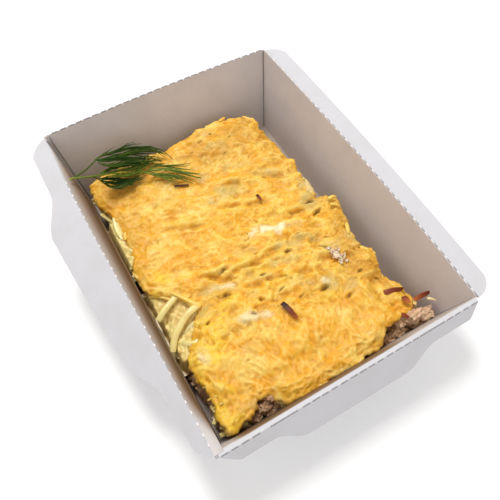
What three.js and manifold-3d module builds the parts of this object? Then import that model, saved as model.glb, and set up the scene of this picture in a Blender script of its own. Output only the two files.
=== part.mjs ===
// French-style baked meat in a folded paperboard tray.
// Millimetres, +Z up, origin at the middle of the tray's underside, +Y along the tray.
import * as THREE from 'three';
import Module from 'manifold-3d';
import { mergeVertices } from 'three/addons/utils/BufferGeometryUtils.js';

const wasm = await Module();
wasm.setup();

// Tray
const rimWidth = 132;
const rimLength = 186;
const rimHeight = 49;
const floorWidth = 120;
const floorLength = 160;
const board = 0.6;
const rimStrip = 2.3;
const rightWallBow = 1.8;
const wallStepsX = 8;
const wallStepsY = 14;
const wallLevels = [0, 0.33, 0.67, 1];

// Flanges folded outwards from the rim
const flangeNarrow = 10.5;
const flangeWide = 22;
const flangeCornerRadius = 5;
const flangeEndGap = 1.2;
const earStart = 0.165;
const earFull = 0.3;
const flangeSteps = 32;

// Slab of food: the faces of its potato layer, at the level of the tray's floor
const slabLeft = -57.4;
const slabRight = 42.4;
const slabFront = -76.4;
const slabBack = 70.6;
const slabStepsX = 22;
const slabStepsY = 30;
const slabCorner = 0.03;
const frontLean = 0.19;
const contactGap = 0.35;
const meatBottom = board + contactGap;
const meatTop = 12;
const potatoBottom = 12.35;
const potatoTop = 21.5;
const potatoShoulder = 1.6;
const crustCeiling = 22;
const crustTop = 27;
const crustDrape = 2.2;

// Small pieces
const strandWidth = 2.8;
const strandHeight = 2.1;
const shredWidth = 2;
const shredThickness = 0.8;
const crumbSize = 4.4;
const stemRadius = 0.7;
const threadRadius = 0.42;
const stemSteps = 12;
const threadCount = 44;
const dillClearance = 1.2;

const up = new THREE.Vector3(0, 0, 1);
const vec = (x, y, z) => new THREE.Vector3(x, y, z);
const mix = (a, b, t) => a + (b - a) * t;
const radians = THREE.MathUtils.degToRad;
const bell = (t, centre, halfWidth) => Math.exp(-(((t - centre) / halfWidth) ** 2));

function ramp(t, from, to) {
  const s = THREE.MathUtils.clamp((t - from) / (to - from), 0, 1);
  return s * s * (3 - 2 * s);
}

function seededRandom(seed) {
  let state = seed;
  return () => {
    state = (state * 1664525 + 1013904223) % 4294967296;
    return state / 4294967296;
  };
}

// A soft uneven field from -1 to 1, made of a few waves in random directions
function rippleField(seed, wavelength) {
  const random = seededRandom(seed);
  const waves = Array.from({ length: 5 }, () => {
    const angle = random() * Math.PI * 2;
    const turnsPerMm = (Math.PI * 2) / (wavelength * (0.7 + 0.6 * random()));
    const phase = random() * Math.PI * 2;
    return { x: Math.cos(angle) * turnsPerMm, y: Math.sin(angle) * turnsPerMm, phase };
  });
  return (x, y) => waves.reduce((sum, w) => sum + Math.sin(w.x * x + w.y * y + w.phase), 0) / 3;
}

// A closed body from vertices and triangles, turned so that its faces point out
function closedBody(points, triangles) {
  let volume = 0;
  for (const [a, b, c] of triangles) {
    volume += points[a].dot(points[b].clone().cross(points[c]));
  }
  const faces = volume < 0 ? triangles.map(([a, b, c]) => [a, c, b]) : triangles;
  const geometry = new THREE.BufferGeometry();
  const positions = points.flatMap((p) => [p.x, p.y, p.z]);
  geometry.setAttribute('position', new THREE.Float32BufferAttribute(positions, 3));
  geometry.setIndex(faces.flat());
  return geometry;
}

function toSolid(geometry) {
  const mesh = new wasm.Mesh({
    numProp: 3,
    vertProperties: new Float32Array(geometry.getAttribute('position').array),
    triVerts: new Uint32Array(geometry.getIndex().array),
  });
  return new wasm.Manifold(mesh);
}

function toGeometry(solid) {
  const mesh = solid.getMesh();
  const geometry = new THREE.BufferGeometry();
  geometry.setAttribute('position', new THREE.BufferAttribute(mesh.vertProperties, 3));
  geometry.setIndex(new THREE.BufferAttribute(mesh.triVerts, 1));
  return geometry;
}

function fuse(geometries) {
  return toGeometry(geometries.map(toSolid).reduce((whole, piece) => whole.add(piece)));
}

// Rings of equal length joined one to the next, with a cap on the first and the last.
// The last cap is a fan, or the rows of a grid whose border is the last ring.
function ringBody(rings, gridRows = null) {
  const count = rings[0].length;
  const points = rings.flat();
  const triangles = [];
  for (let r = 0; r < rings.length - 1; r += 1) {
    for (let k = 0; k < count; k += 1) {
      const a = r * count + k;
      const b = r * count + ((k + 1) % count);
      triangles.push([a, b, b + count], [a, b + count, a + count]);
    }
  }
  const addFan = (first, turned) => {
    const ring = points.slice(first, first + count);
    const centre = ring.reduce((sum, p) => sum.add(p), vec(0, 0, 0)).divideScalar(count);
    points.push(centre);
    const middle = points.length - 1;
    for (let k = 0; k < count; k += 1) {
      const a = first + k;
      const b = first + ((k + 1) % count);
      triangles.push(turned ? [middle, b, a] : [middle, a, b]);
    }
  };
  addFan(0, true);
  const lastRing = (rings.length - 1) * count;
  if (!gridRows) {
    addFan(lastRing, false);
    return closedBody(points, triangles);
  }
  const rowCount = gridRows.length - 1;
  const columnCount = gridRows[0].length - 1;
  const index = gridRows.map((row, j) => row.map((point, i) => {
    const k = borderIndex(i, j, columnCount, rowCount);
    if (k !== null) return lastRing + k;
    points.push(point);
    return points.length - 1;
  }));
  for (let j = 0; j < rowCount; j += 1) {
    for (let i = 0; i < columnCount; i += 1) {
      const [a, b, c, d] = [index[j][i], index[j][i + 1], index[j + 1][i + 1], index[j + 1][i]];
      triangles.push([a, b, c], [a, c, d]);
    }
  }
  return closedBody(points, triangles);
}

// The place of a grid's border vertex in a ring that runs front, right, back, left
function borderIndex(i, j, columns, rows) {
  if (j === 0) return i;
  if (i === columns) return columns + j;
  if (j === rows) return columns + rows + (columns - i);
  if (i === 0) return 2 * columns + rows + (rows - j);
  return null;
}

// The ring's vertices as pairs from -1 to 1 round a square
function borderPairs(columns, rows) {
  const pairs = [];
  for (let i = 0; i < columns; i += 1) pairs.push([-1 + (2 * i) / columns, -1]);
  for (let j = 0; j < rows; j += 1) pairs.push([1, -1 + (2 * j) / rows]);
  for (let i = 0; i < columns; i += 1) pairs.push([1 - (2 * i) / columns, 1]);
  for (let j = 0; j < rows; j += 1) pairs.push([-1, 1 - (2 * j) / rows]);
  return pairs;
}

// A bar along a path, its section a polygon of the given half width and half height
function sweep(path, halfWidth, halfHeight, sides) {
  const points = [];
  const triangles = [];
  const last = path.length - 1;
  path.forEach((point, i) => {
    const along = path[Math.min(i + 1, last)].clone().sub(path[Math.max(i - 1, 0)]).normalize();
    const across = along.clone().cross(up).normalize();
    const rise = across.clone().cross(along);
    for (let s = 0; s < sides; s += 1) {
      const angle = ((s + 0.5) / sides) * Math.PI * 2;
      const offset = across.clone().multiplyScalar(Math.cos(angle) * halfWidth(i / last));
      offset.add(rise.clone().multiplyScalar(Math.sin(angle) * halfHeight(i / last)));
      points.push(point.clone().add(offset));
    }
  });
  for (let i = 0; i < last; i += 1) {
    for (let s = 0; s < sides; s += 1) {
      const a = i * sides + s;
      const b = i * sides + ((s + 1) % sides);
      triangles.push([a, b, b + sides], [a, b + sides, a + sides]);
    }
  }
  for (let s = 1; s < sides - 1; s += 1) {
    triangles.push([0, s + 1, s], [last * sides, last * sides + s, last * sides + s + 1]);
  }
  return closedBody(points, triangles);
}

const curveThrough = (points, steps) => new THREE.CatmullRomCurve3(points).getPoints(steps);

// Tray

// One level of the walls: the share of the height, and how far inside the outer face
function wallRing(share, inset, z) {
  const left = mix(-floorWidth / 2, -(rimWidth / 2 - rimStrip), share) + inset;
  const right = mix(floorWidth / 2, rimWidth / 2, share) - inset;
  const front = mix(-floorLength / 2, -(rimLength / 2 - rimStrip), share) + inset;
  const back = mix(floorLength / 2, rimLength / 2, share) - inset;
  return borderPairs(wallStepsX, wallStepsY).map(([u, v]) => {
    const bow = rightWallBow * share * (1 - v * v);
    const x = mix(left, right + bow, (u + 1) / 2);
    return vec(x, mix(front, back, (v + 1) / 2), z);
  });
}

function trayShell() {
  const inset = board * 1.04;
  const outer = wallLevels.map((share) => wallRing(share, 0, share * rimHeight));
  const inner = [...wallLevels].reverse().map((share) => {
    const z = share === 0 ? board : share * rimHeight;
    return wallRing(z / rimHeight, inset, z);
  });
  return ringBody([...outer, ...inner]);
}

// The flange's width at a place from 0 to 1 along its side: an ear between narrow ends
function flangeWidth(place, length) {
  const fromEnd = Math.min(place, 1 - place);
  const ear = ramp(fromEnd, earStart, earFull);
  const d = Math.min(fromEnd * length, flangeCornerRadius);
  const rounding = flangeCornerRadius - Math.sqrt(flangeCornerRadius ** 2 - (flangeCornerRadius - d) ** 2);
  return mix(flangeNarrow, flangeWide, ear) - rounding;
}

// A strip of board along one side: its section is a bent line, given by a start, then
// lengths and directions below the horizontal, and thickened on its lower side
function bentStrip(stations) {
  const points = [];
  const triangles = [];
  const perStation = stations[0].legs.length + 1;
  for (const { start, out, legs } of stations) {
    const line = [start.clone()];
    const normals = legs.map((leg) => {
      const direction = out.clone().multiplyScalar(Math.cos(leg.fold));
      direction.add(up.clone().multiplyScalar(-Math.sin(leg.fold)));
      line.push(line[line.length - 1].clone().add(direction.multiplyScalar(leg.length)));
      const outPart = out.clone().multiplyScalar(Math.sin(leg.fold));
      return outPart.add(up.clone().multiplyScalar(Math.cos(leg.fold)));
    });
    const lower = line.map((point, i) => {
      const before = normals[Math.max(i - 1, 0)];
      const after = normals[Math.min(i, normals.length - 1)];
      const middle = before.clone().add(after).normalize();
      return point.clone().sub(middle.clone().multiplyScalar(board / middle.dot(after)));
    });
    points.push(...line, ...lower);
  }
  const ringSize = 2 * perStation;
  const upper = [...Array(perStation).keys()];
  const loop = [...upper, ...upper.map((i) => ringSize - 1 - i)];
  for (let s = 0; s < stations.length - 1; s += 1) {
    loop.forEach((from, n) => {
      const to = loop[(n + 1) % loop.length];
      const a = s * ringSize + from;
      const b = s * ringSize + to;
      triangles.push([a, b, b + ringSize], [a, b + ringSize, a + ringSize]);
    });
  }
  const lastStation = (stations.length - 1) * ringSize;
  for (let i = 0; i < perStation - 1; i += 1) {
    const [a, b, c, d] = [i, i + 1, i + 1 + perStation, i + perStation];
    triangles.push([a, c, b], [a, d, c]);
    triangles.push([b, c, a].map((n) => n + lastStation), [c, d, a].map((n) => n + lastStation));
  }
  return closedBody(points, triangles);
}

function stationsAlong(length, makeStation) {
  const usable = length - 2 * flangeEndGap;
  return Array.from({ length: flangeSteps + 1 }, (_, i) => {
    const place = (1 - Math.cos((i / flangeSteps) * Math.PI)) / 2;
    const even = i / flangeSteps;
    const share = mix(even, place, 0.45);
    return makeStation(-usable / 2 + share * usable, flangeWidth(share, usable));
  });
}

// Left flange, twisted so that its front end hangs lower than its back end
function leftFlange() {
  const out = vec(-1, 0, 0);
  const inWall = rimWidth / 2 - rimStrip - board / 2;
  return bentStrip(stationsAlong(rimLength, (y, width) => ({
    start: vec(-inWall, y, rimHeight),
    out,
    legs: [
      { length: rimStrip + board / 2, fold: 0 },
      { length: width, fold: radians(37 - 0.23 * y) },
    ],
  })));
}

function frontFlange() {
  const out = vec(0, -1, 0);
  const inWall = rimLength / 2 - rimStrip - board / 2;
  return bentStrip(stationsAlong(rimWidth, (x, width) => ({
    start: vec(x, -inWall, rimHeight),
    out,
    legs: [
      { length: rimStrip + board / 2, fold: 0 },
      { length: width, fold: radians(70) },
    ],
  })));
}

function backFlange() {
  const out = vec(0, 1, 0);
  return bentStrip(stationsAlong(rimWidth, (x, width) => ({
    start: vec(x, rimLength / 2 - board / 2, rimHeight),
    out,
    legs: [
      { length: board / 2, fold: 0 },
      { length: width, fold: radians(72) },
    ],
  })));
}

// Right flange: nearly level, with its ear folded down
function rightFlange() {
  const out = vec(1, 0, 0);
  return bentStrip(stationsAlong(rimLength, (y, width) => {
    const bow = rightWallBow * (1 - (y / (rimLength / 2)) ** 2);
    const level = Math.min(width, flangeNarrow);
    return {
      start: vec(rimWidth / 2 - board / 2 + bow, y, rimHeight),
      out,
      legs: [
        { length: board / 2, fold: 0 },
        { length: level, fold: radians(7) },
        { length: width - level + 0.3, fold: radians(72) },
      ],
    };
  }));
}

function makeTray() {
  return fuse([trayShell(), leftFlange(), frontFlange(), backFlange(), rightFlange()]);
}

// Slab

const sideRipple = rippleField(11, 17);
const wideRipple = rippleField(23, 42);
const closeRipple = rippleField(37, 14);

// The crust's upper surface, with a shallow valley across its middle
function crustHeight(x, y) {
  const valley = bell(y, -4 - 0.08 * x, 8);
  return crustTop + wideRipple(x, y) + 0.8 * closeRipple(x, y) - 1.5 * valley;
}

const upperEdges = {
  left: (y) => slabLeft + 13 * bell(y, -21, 12) + 2 * bell(y, -52, 14),
  right: (y) => slabRight + 4.8 * ramp(y, 3, -7) - 2.5 * bell(y, 6, 5)
    - 1.6 * bell(y, -36, 14) + 5 * ramp(y, -50, -66),
  front: (x) => slabFront + 5 * bell(x, -35, 11) + 8.8 * ramp(x, 10, 52),
  back: () => slabBack,
};

const meatEdges = {
  left: () => slabLeft,
  right: (y) => upperEdges.right(y) + 7.8 * ramp(y, -62, -68),
  front: (x) => slabFront - 1.6 * bell(x, -36, 9) - 1.6 * ramp(x, 12, 30),
  back: () => slabBack,
};

// The slab's outline as a ring of vertices, each with its direction outwards
function outline(edges) {
  const border = borderPairs(slabStepsX, slabStepsY).map(([u, v]) => {
    const rounding = slabCorner * u ** 8 * v ** 8;
    const across = (u * (1 - rounding) + 1) / 2;
    const along = (v * (1 - rounding) + 1) / 2;
    let x = mix(slabLeft, slabRight, across);
    let y = mix(slabFront, slabBack, along);
    for (let pass = 0; pass < 3; pass += 1) {
      x = mix(edges.left(y), edges.right(y), across);
      y = mix(edges.front(x), edges.back(x), along);
    }
    return vec(x, y, 0);
  });
  return border.map((point, k) => {
    const next = border[(k + 1) % border.length];
    const previous = border[(k + border.length - 1) % border.length];
    const along = next.clone().sub(previous).normalize();
    const wobble = 0.5 * sideRipple(point.x, point.y);
    const outwards = vec(along.y, -along.x, 0);
    return { point: point.clone().add(outwards.clone().multiplyScalar(wobble)), outwards };
  });
}

// One ring of the slab: how far out from the outline and how high, as values or functions
function slabRing(border, offset, height) {
  return border.map(({ point, outwards }) => {
    const out = typeof offset === 'function' ? offset(point) : offset;
    const z = typeof height === 'function' ? height(point) : height;
    const place = point.clone().add(outwards.clone().multiplyScalar(out));
    return vec(place.x, place.y, z);
  });
}

// Everything in the slab leans with the tray's front wall
function leanForward(points) {
  return points.map((p) => vec(p.x, p.y - frontLean * p.z * ramp(p.y, -52, -72), p.z));
}

// Rows of a grid that fills a ring, each vertex blended from the four sides
function fillRing(ring, columns, rows) {
  const at = (i, j) => ring[borderIndex(i, j, columns, rows) % ring.length];
  return Array.from({ length: rows + 1 }, (_, j) => Array.from({ length: columns + 1 }, (__, i) => {
    const u = i / columns;
    const v = j / rows;
    const blend = (key) => {
      const frontSide = mix(at(0, 0)[key], at(columns, 0)[key], u);
      const backSide = mix(at(0, rows)[key], at(columns, rows)[key], u);
      const alongY = mix(at(i, 0)[key], at(i, rows)[key], v);
      const alongX = mix(at(0, j)[key], at(columns, j)[key], u);
      return alongY + alongX - mix(frontSide, backSide, v);
    };
    return vec(blend('x'), blend('y'), 0);
  }));
}

// How low the crust hangs down the slab's sides
function hemHeight(point) {
  const onFront = ramp(point.y, -60, -66);
  const frontHem = 18.4 - 8.5 * bell(point.x, -56, 7) - 7 * bell(point.x, -8, 12);
  const sideHem = point.x < 0 ? 18.6 : 16;
  return mix(sideHem, frontHem, onFront) + 0.5 * sideRipple(point.x * 2, point.y * 2);
}

function crustBody() {
  const border = outline(upperEdges);
  const outerHem = (point) => hemHeight(point) + 0.3;
  const midDrape = (point) => mix(hemHeight(point), 24, 0.5);
  const plateau = slabRing(border, -2.4, 0).map((p) => vec(p.x, p.y, crustHeight(p.x, p.y)));
  const rings = [
    slabRing(border, -1.35, crustCeiling),
    slabRing(border, contactGap + 0.1, potatoTop - potatoShoulder),
    slabRing(border, contactGap + 0.05, hemHeight),
    slabRing(border, contactGap + 0.9, outerHem),
    slabRing(border, crustDrape, midDrape),
    slabRing(border, crustDrape - 0.4, 24.4),
    slabRing(border, 0.4, 26.1),
    plateau,
  ].map(leanForward);
  const rows = fillRing(slabRing(border, -2.4, 0), slabStepsX, slabStepsY)
    .map((row) => leanForward(row.map((p) => vec(p.x, p.y, crustHeight(p.x, p.y)))));
  return ringBody(rings, rows);
}

// Crisp shreds of cheese that stand off the crust: ends, and the height of each end
const crispShreds = [
  { from: [-19, 43.4], to: [-11.5, 41.2], lift: [0.2, 0.4] },
  { from: [16.2, 16.4], to: [17.6, 11.6], lift: [0, 0.6] },
  { from: [-4.8, -44], to: [-2.2, -52.6], lift: [2.4, 0.1] },
  { from: [40.6, -63.6], to: [50, -65.2], lift: [0.9, -1.4] },
  { from: [46.4, -70.6], to: [48.4, -66], lift: [-1.6, 0] },
  { from: [47.8, -69.4], to: [58.6, -74], lift: [-2.2, 0.4] },
];

function crispShred({ from, to, lift }) {
  const path = [0, 0.25, 0.5, 0.75, 1].map((t) => {
    const x = mix(from[0], to[0], t);
    const y = mix(from[1], to[1], t);
    const z = crustHeight(x, y) + mix(lift[0], lift[1], t) + 0.5 * Math.sin(t * Math.PI);
    return vec(x, y, z);
  });
  const taper = (t) => (shredWidth / 2) * (1.25 - 0.5 * Math.abs(2 * t - 1));
  return sweep(path, taper, () => shredThickness * 0.7, 4);
}

// A thread of cheese that hangs from the front edge
function hangingThread() {
  const path = [vec(27, -77.2, 22.4), vec(27.1, -79.4, 19), vec(27.3, -80.2, 14.4)];
  return sweep(path, (t) => 0.75 - 0.3 * t, (t) => 0.75 - 0.3 * t, 4);
}

function makeCheeseCrust() {
  return fuse([crustBody(), ...crispShreds.map(crispShred), hangingThread()]);
}

// Grated potato: the layer, a bed of it in the bay on the left, and strands that stick out
const strandPaths = [
  [[-47, -9, 16.2], [-53, -12.6, 16.8], [-58.6, -16.2, 16.4]],
  [[-43, -14.4, 15.4], [-47.5, -17.6, 17], [-52, -22.5, 17], [-56, -29.5, 16.4], [-58.2, -35.5, 15]],
  [[-51, -26, 15], [-55, -30, 15.6], [-58.4, -37, 14.4]],
  [[-54, 49, 15.8], [-57.6, 43, 16.2], [-58.6, 35, 15.4]],
  [[-56, 38, 15], [-58.6, 28, 16], [-58.4, 19, 15]],
  [[-55, 22, 15.6], [-58.6, 15, 15.8], [-58.2, 6, 14.6]],
  [[-52, -45, 15], [-57, -50, 15.6], [-58.2, -57, 14.8]],
  [[40, 30, 14], [45.6, 25, 14.4], [46.4, 17, 13.8]],
  [[44, -18, 14], [49.6, -23, 14.2], [50.4, -30, 13.8]],
  [[42, -46, 14.2], [48.8, -49, 14.2], [50, -55, 13.8]],
  [[10, 67, 14], [4, 73.6, 14.2], [-6, 74, 13.8]],
];

function potatoBed() {
  const bed = new THREE.SphereGeometry(1, 14, 8);
  bed.scale(9.5, 18, 4.6);
  bed.translate(-48, -20, potatoBottom + 0.8);
  bed.deleteAttribute('normal');
  bed.deleteAttribute('uv');
  const whole = toSolid(mergeVertices(bed));
  const below = new THREE.BoxGeometry(60, 60, 20);
  below.deleteAttribute('normal');
  below.deleteAttribute('uv');
  below.translate(-48, -20, potatoBottom - 10);
  return toGeometry(whole.subtract(toSolid(mergeVertices(below))));
}

function makePotatoLayer() {
  const border = outline(upperEdges);
  const dented = (depth) => (p) => -depth * (0.5 + 0.5 * closeRipple(p.x * 2, p.y * 2 + depth * 40));
  const rings = [
    slabRing(border, -0.8, potatoBottom),
    slabRing(border, dented(1), 14.6),
    slabRing(border, dented(1.3), 17.4),
    slabRing(border, 0, potatoTop - potatoShoulder - 0.3),
    slabRing(border, -potatoShoulder, potatoTop),
  ].map(leanForward);
  const strands = strandPaths.map((path) => {
    const points = curveThrough(leanForward(path.map(([x, y, z]) => vec(x, y, z))), 4);
    return sweep(points, () => strandWidth * 0.62, () => strandHeight * 0.62, 4);
  });
  return fuse([ringBody(rings), potatoBed(), ...strands]);
}

// Minced meat: the layer, with lumps on the shelves that the upper layers leave bare
const meatShelves = [
  { count: 6, from: [-41, -75], to: [-29.5, -75], height: 9.6 },
  { count: 11, from: [27, -75.4], to: [55, -73.4], height: 10.6 },
  { count: 5, from: [55.4, -76], to: [55, -67], height: 9.6 },
];

function meatLump(centre, radius, random) {
  const lump = new THREE.IcosahedronGeometry(radius, 0);
  lump.deleteAttribute('normal');
  lump.deleteAttribute('uv');
  lump.rotateX(random() * 3);
  lump.rotateZ(random() * 3);
  lump.scale(1, 0.8 + 0.3 * random(), 0.8);
  lump.translate(centre.x, centre.y, centre.z);
  return mergeVertices(lump);
}

function makeMeatLayer() {
  const border = outline(meatEdges);
  const crumbly = (depth, seed) => (p) => -depth * (0.5 + 0.5 * closeRipple(p.x * 3 + seed, p.y * 3));
  const rings = [
    slabRing(border, -0.6, meatBottom),
    slabRing(border, crumbly(0.8, 3), 3.4),
    slabRing(border, crumbly(1.4, 17), 6.2),
    slabRing(border, crumbly(1, 29), 9.2),
    slabRing(border, -2, meatTop),
  ].map(leanForward);
  const random = seededRandom(5);
  const lumps = meatShelves.flatMap(({ count, from, to, height }) => (
    Array.from({ length: count }, (_, i) => {
      const t = (i + 0.5) / count;
      const x = mix(from[0], to[0], t) + (random() - 0.5);
      const y = mix(from[1], to[1], t) + (random() - 0.5) * 1.6;
      const [centre] = leanForward([vec(x, y, height + random())]);
      return meatLump(centre, 1.9 + 0.7 * random(), random);
    })
  ));
  return fuse([ringBody(rings), ...lumps]);
}

// A loose fluffy crumb of meat on the crust
function makeMeatCrumb() {
  const x = 32.2;
  const y = -35.6;
  const random = seededRandom(31);
  const lumps = [[0, 0, 0], [0.9, -2.4, -0.1], [-1, 2.2, 0.1], [1.4, 1.2, 0.5]].map(([dx, dy, dz]) => {
    const z = crustHeight(x, y) + crumbSize * 0.66 + dz;
    return meatLump(vec(x + dx, y + dy, z), crumbSize * 0.42, random);
  });
  return fuse(lumps);
}

// Dill: stems by hand-placed points, and threads that fan out from them
const dillStems = [
  [[-66.9, 57.5, 50.7], [-63.4, 58, 50.6], [-57.6, 59.5, 48], [-51, 60.8, 44], [-44.2, 61.9, 39.5],
    [-37, 61.7, 35], [-31.1, 60.1, 32], [-22, 54.6, 30], [-13.3, 48.1, 29], [-5.3, 41.1, 29]],
  [[-61.4, 58.4, 49.8], [-55, 62.6, 48.4], [-50.5, 66.2, 47], [-46.8, 69.7, 45], [-39.9, 72.2, 41],
    [-30.4, 73, 37], [-21.6, 72.4, 33], [-14, 69.8, 30.2], [-12, 61.4, 29]],
  [[-60.8, 58.6, 49.6], [-55.7, 58.7, 45.5], [-53.6, 57.2, 42.4], [-49.8, 55.7, 36.5],
    [-43.5, 56.1, 32.4], [-31.1, 55.7, 30]],
  [[-32, 60.4, 32.3], [-21.8, 57.8, 31], [-13.4, 53.6, 30], [-4.5, 48.6, 29]],
];
const threadRanges = [[0.4, 0.97], [0.36, 0.97], [0.5, 0.97], [0.3, 0.97]];

function liftOffCrust(point) {
  return vec(point.x, point.y, Math.max(point.z, crustHeight(point.x, point.y) + dillClearance));
}

function dillThread(stem, place, side, random) {
  const step = Math.min(Math.floor(place * (stem.length - 1)), stem.length - 2);
  const root = stem[step].clone().lerp(stem[step + 1], place * (stem.length - 1) - step);
  const along = stem[step + 1].clone().sub(stem[step]).normalize();
  const heading = along.clone().applyAxisAngle(up, side * radians(16 + 26 * random()));
  heading.z = along.z * 0.5 + 0.12 * (random() - 0.35);
  heading.normalize();
  const length = 6.5 + 5.5 * random();
  const bend = side * (random() - 0.3) * 1.6;
  const path = [0, 0.5, 1].map((t) => {
    const point = root.clone().add(heading.clone().multiplyScalar(length * t));
    const sideways = heading.clone().cross(up).normalize();
    return liftOffCrust(point.add(sideways.multiplyScalar(bend * t * t)));
  });
  return sweep(path, (t) => threadRadius * (1.1 - 0.5 * t), (t) => threadRadius * (1.1 - 0.5 * t), 3);
}

function makeDillSprig() {
  const random = seededRandom(77);
  const radius = (t) => mix(stemRadius, threadRadius, t);
  const stems = dillStems.map((stem) => (
    curveThrough(stem.map(([x, y, z]) => vec(x, y, z)), stemSteps).map(liftOffCrust)
  ));
  const threads = Array.from({ length: threadCount }, (_, i) => {
    const n = i % stems.length;
    const turn = Math.floor(i / stems.length) / Math.ceil(threadCount / stems.length);
    const place = mix(threadRanges[n][0], threadRanges[n][1], turn);
    return dillThread(stems[n], place, i % (2 * stems.length) < stems.length ? 1 : -1, random);
  });
  return fuse([...stems.map((stem) => sweep(stem, radius, radius, 5)), ...threads]);
}

// Materials and assembly

const material = (color, roughness) => new THREE.MeshStandardMaterial({ color, roughness, metalness: 0 });

function addPiece(group, name, geometry, color, roughness) {
  const mesh = new THREE.Mesh(geometry, material(color, roughness));
  mesh.name = name;
  group.add(mesh);
}

const bakedMeat = new THREE.Group();
bakedMeat.name = 'baked_meat_in_tray';
addPiece(bakedMeat, 'tray', makeTray(), 0xdedde2, 0.75);
addPiece(bakedMeat, 'meat_layer', makeMeatLayer(), 0x8a6b54, 0.8);
addPiece(bakedMeat, 'potato_layer', makePotatoLayer(), 0xe2d593, 0.5);
addPiece(bakedMeat, 'cheese_crust', makeCheeseCrust(), 0xeeb24c, 0.45);
addPiece(bakedMeat, 'meat_crumb', makeMeatCrumb(), 0xc9a58f, 0.85);
addPiece(bakedMeat, 'dill_sprig', makeDillSprig(), 0x4c6b2a, 0.55);

export default bakedMeat;
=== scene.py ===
# French-style baked meat in a folded white paperboard tray.
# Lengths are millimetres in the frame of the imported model, and become metres in addMesh.
# The camera's place is given in millimetres too, the soft boxes' in metres.
import math

import bmesh
import bpy
import numpy as np
from mathutils import Matrix, Vector
from mathutils.kdtree import KDTree


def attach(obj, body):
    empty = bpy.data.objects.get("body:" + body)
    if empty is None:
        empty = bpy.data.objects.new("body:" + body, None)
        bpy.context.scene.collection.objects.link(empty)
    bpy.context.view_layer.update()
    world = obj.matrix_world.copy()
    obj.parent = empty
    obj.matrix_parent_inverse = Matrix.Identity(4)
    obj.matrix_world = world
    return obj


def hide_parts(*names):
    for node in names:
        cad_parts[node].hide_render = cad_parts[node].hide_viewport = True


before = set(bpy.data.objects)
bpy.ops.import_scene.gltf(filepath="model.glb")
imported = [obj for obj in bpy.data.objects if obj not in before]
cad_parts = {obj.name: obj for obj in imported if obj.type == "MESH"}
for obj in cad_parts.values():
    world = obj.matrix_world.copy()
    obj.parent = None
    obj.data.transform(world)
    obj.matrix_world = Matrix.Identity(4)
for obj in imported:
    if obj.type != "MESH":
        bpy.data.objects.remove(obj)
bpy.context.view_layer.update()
print("frame loaded:", sorted(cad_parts))


# Camera, solved from the tray's corners

camera = {
    "place": (-72.42, -128.43, 267.77),
    "yaw": 30.355,
    "pitch": 60.221,
    "roll": 0.231,
    "focalLength": 39.24,
    "sensor": 36,
    # nearest and farthest distance that it sees, in metres
    "sight": (0.01, 20),
}


def addThing(name, data):
    thing = bpy.data.objects.new(name, data)
    bpy.context.collection.objects.link(thing)
    return thing


def addCamera():
    data = bpy.data.cameras.new("camera")
    data.sensor_width = camera["sensor"]
    data.lens = camera["focalLength"]
    data.clip_start, data.clip_end = camera["sight"]
    thing = addThing("camera", data)
    turn = Matrix.Rotation(math.radians(-camera["yaw"]), 4, "Z")
    turn @= Matrix.Rotation(math.radians(90 - camera["pitch"]), 4, "X")
    turn @= Matrix.Rotation(math.radians(camera["roll"]), 4, "Z")
    thing.matrix_world = Matrix.Translation(Vector(camera["place"]) * 0.001) @ turn
    bpy.context.scene.camera = thing


# Light and floor

studio = {
    "world": 0.6,
    "worldColor": (1.0, 0.99, 0.975),
    "floorColor": (0.93, 0.925, 0.925),
    "floorGlow": 0.15,
    "floorSize": 4000,
    # name, place, aim, size, power and colour of each soft box, in metres and watts
    "boxes": [
        ("key", (0.05, 0.58, 1.46), (0.0, 0.0, 0.02), 0.5, 14.8, (1.0, 0.985, 0.97)),
        ("fill", (-0.4, -1.1, 1.2), (0.0, 0.0, 0.02), 1.6, 2.7, (0.98, 0.985, 1.0)),
    ],
}


def addStudio():
    scene = bpy.context.scene
    scene.view_settings.view_transform = "Standard"
    scene.view_settings.look = "None"
    world = bpy.data.worlds.new("studio")
    scene.world = world
    world.use_nodes = True
    background = world.node_tree.nodes["Background"]
    background.inputs["Color"].default_value = (*studio["worldColor"], 1)
    background.inputs["Strength"].default_value = studio["world"]
    for name, place, aim, size, power, color in studio["boxes"]:
        data = bpy.data.lights.new(name, "AREA")
        data.shape = "DISK"
        data.size = size
        data.energy = power
        data.color = color
        thing = addThing(name, data)
        away = Vector(place) - Vector(aim)
        thing.matrix_world = Matrix.Translation(place) @ away.to_track_quat("Z", "Y").to_matrix().to_4x4()
    half = studio["floorSize"] / 2
    corners = [(-half, -half, 0), (half, -half, 0), (half, half, 0), (-half, half, 0)]
    floor = addMesh("floor", corners, [(0, 1, 2, 3)], floorMaterial())
    print("studio lit by", len(studio["boxes"]), "soft boxes")


# Meshes

def addMesh(name, points, faces, material, masks=None, sharpAngle=40):
    mesh = bpy.data.meshes.new(name)
    mesh.from_pydata((np.asarray(points, float) * 0.001).tolist(), [], [list(map(int, f)) for f in faces])
    mesh.validate()
    mesh.polygons.foreach_set("use_smooth", [True] * len(mesh.polygons))
    mesh.set_sharp_from_angle(angle=math.radians(sharpAngle))
    for key, values in (masks or {}).items():
        layer = mesh.attributes.new(key, "FLOAT", "POINT")
        layer.data.foreach_set("value", np.asarray(values, np.float32))
    mesh.update()
    mesh.materials.append(material)
    return addThing(name, mesh)


# Joins a piece to the root body, and hides the node that it replaces
def standFor(thing, nodeName):
    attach(thing, "root")
    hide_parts(nodeName)
    print(thing.name, "built:", len(thing.data.polygons), "faces")


def ramp(t, start, end):
    s = np.clip((np.asarray(t, float) - start) / (end - start), 0, 1)
    return s * s * (3 - 2 * s)


def bell(t, centre, halfWidth):
    return np.exp(-(((np.asarray(t, float) - centre) / halfWidth) ** 2))


def mix(a, b, t):
    return a + (b - a) * t


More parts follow.
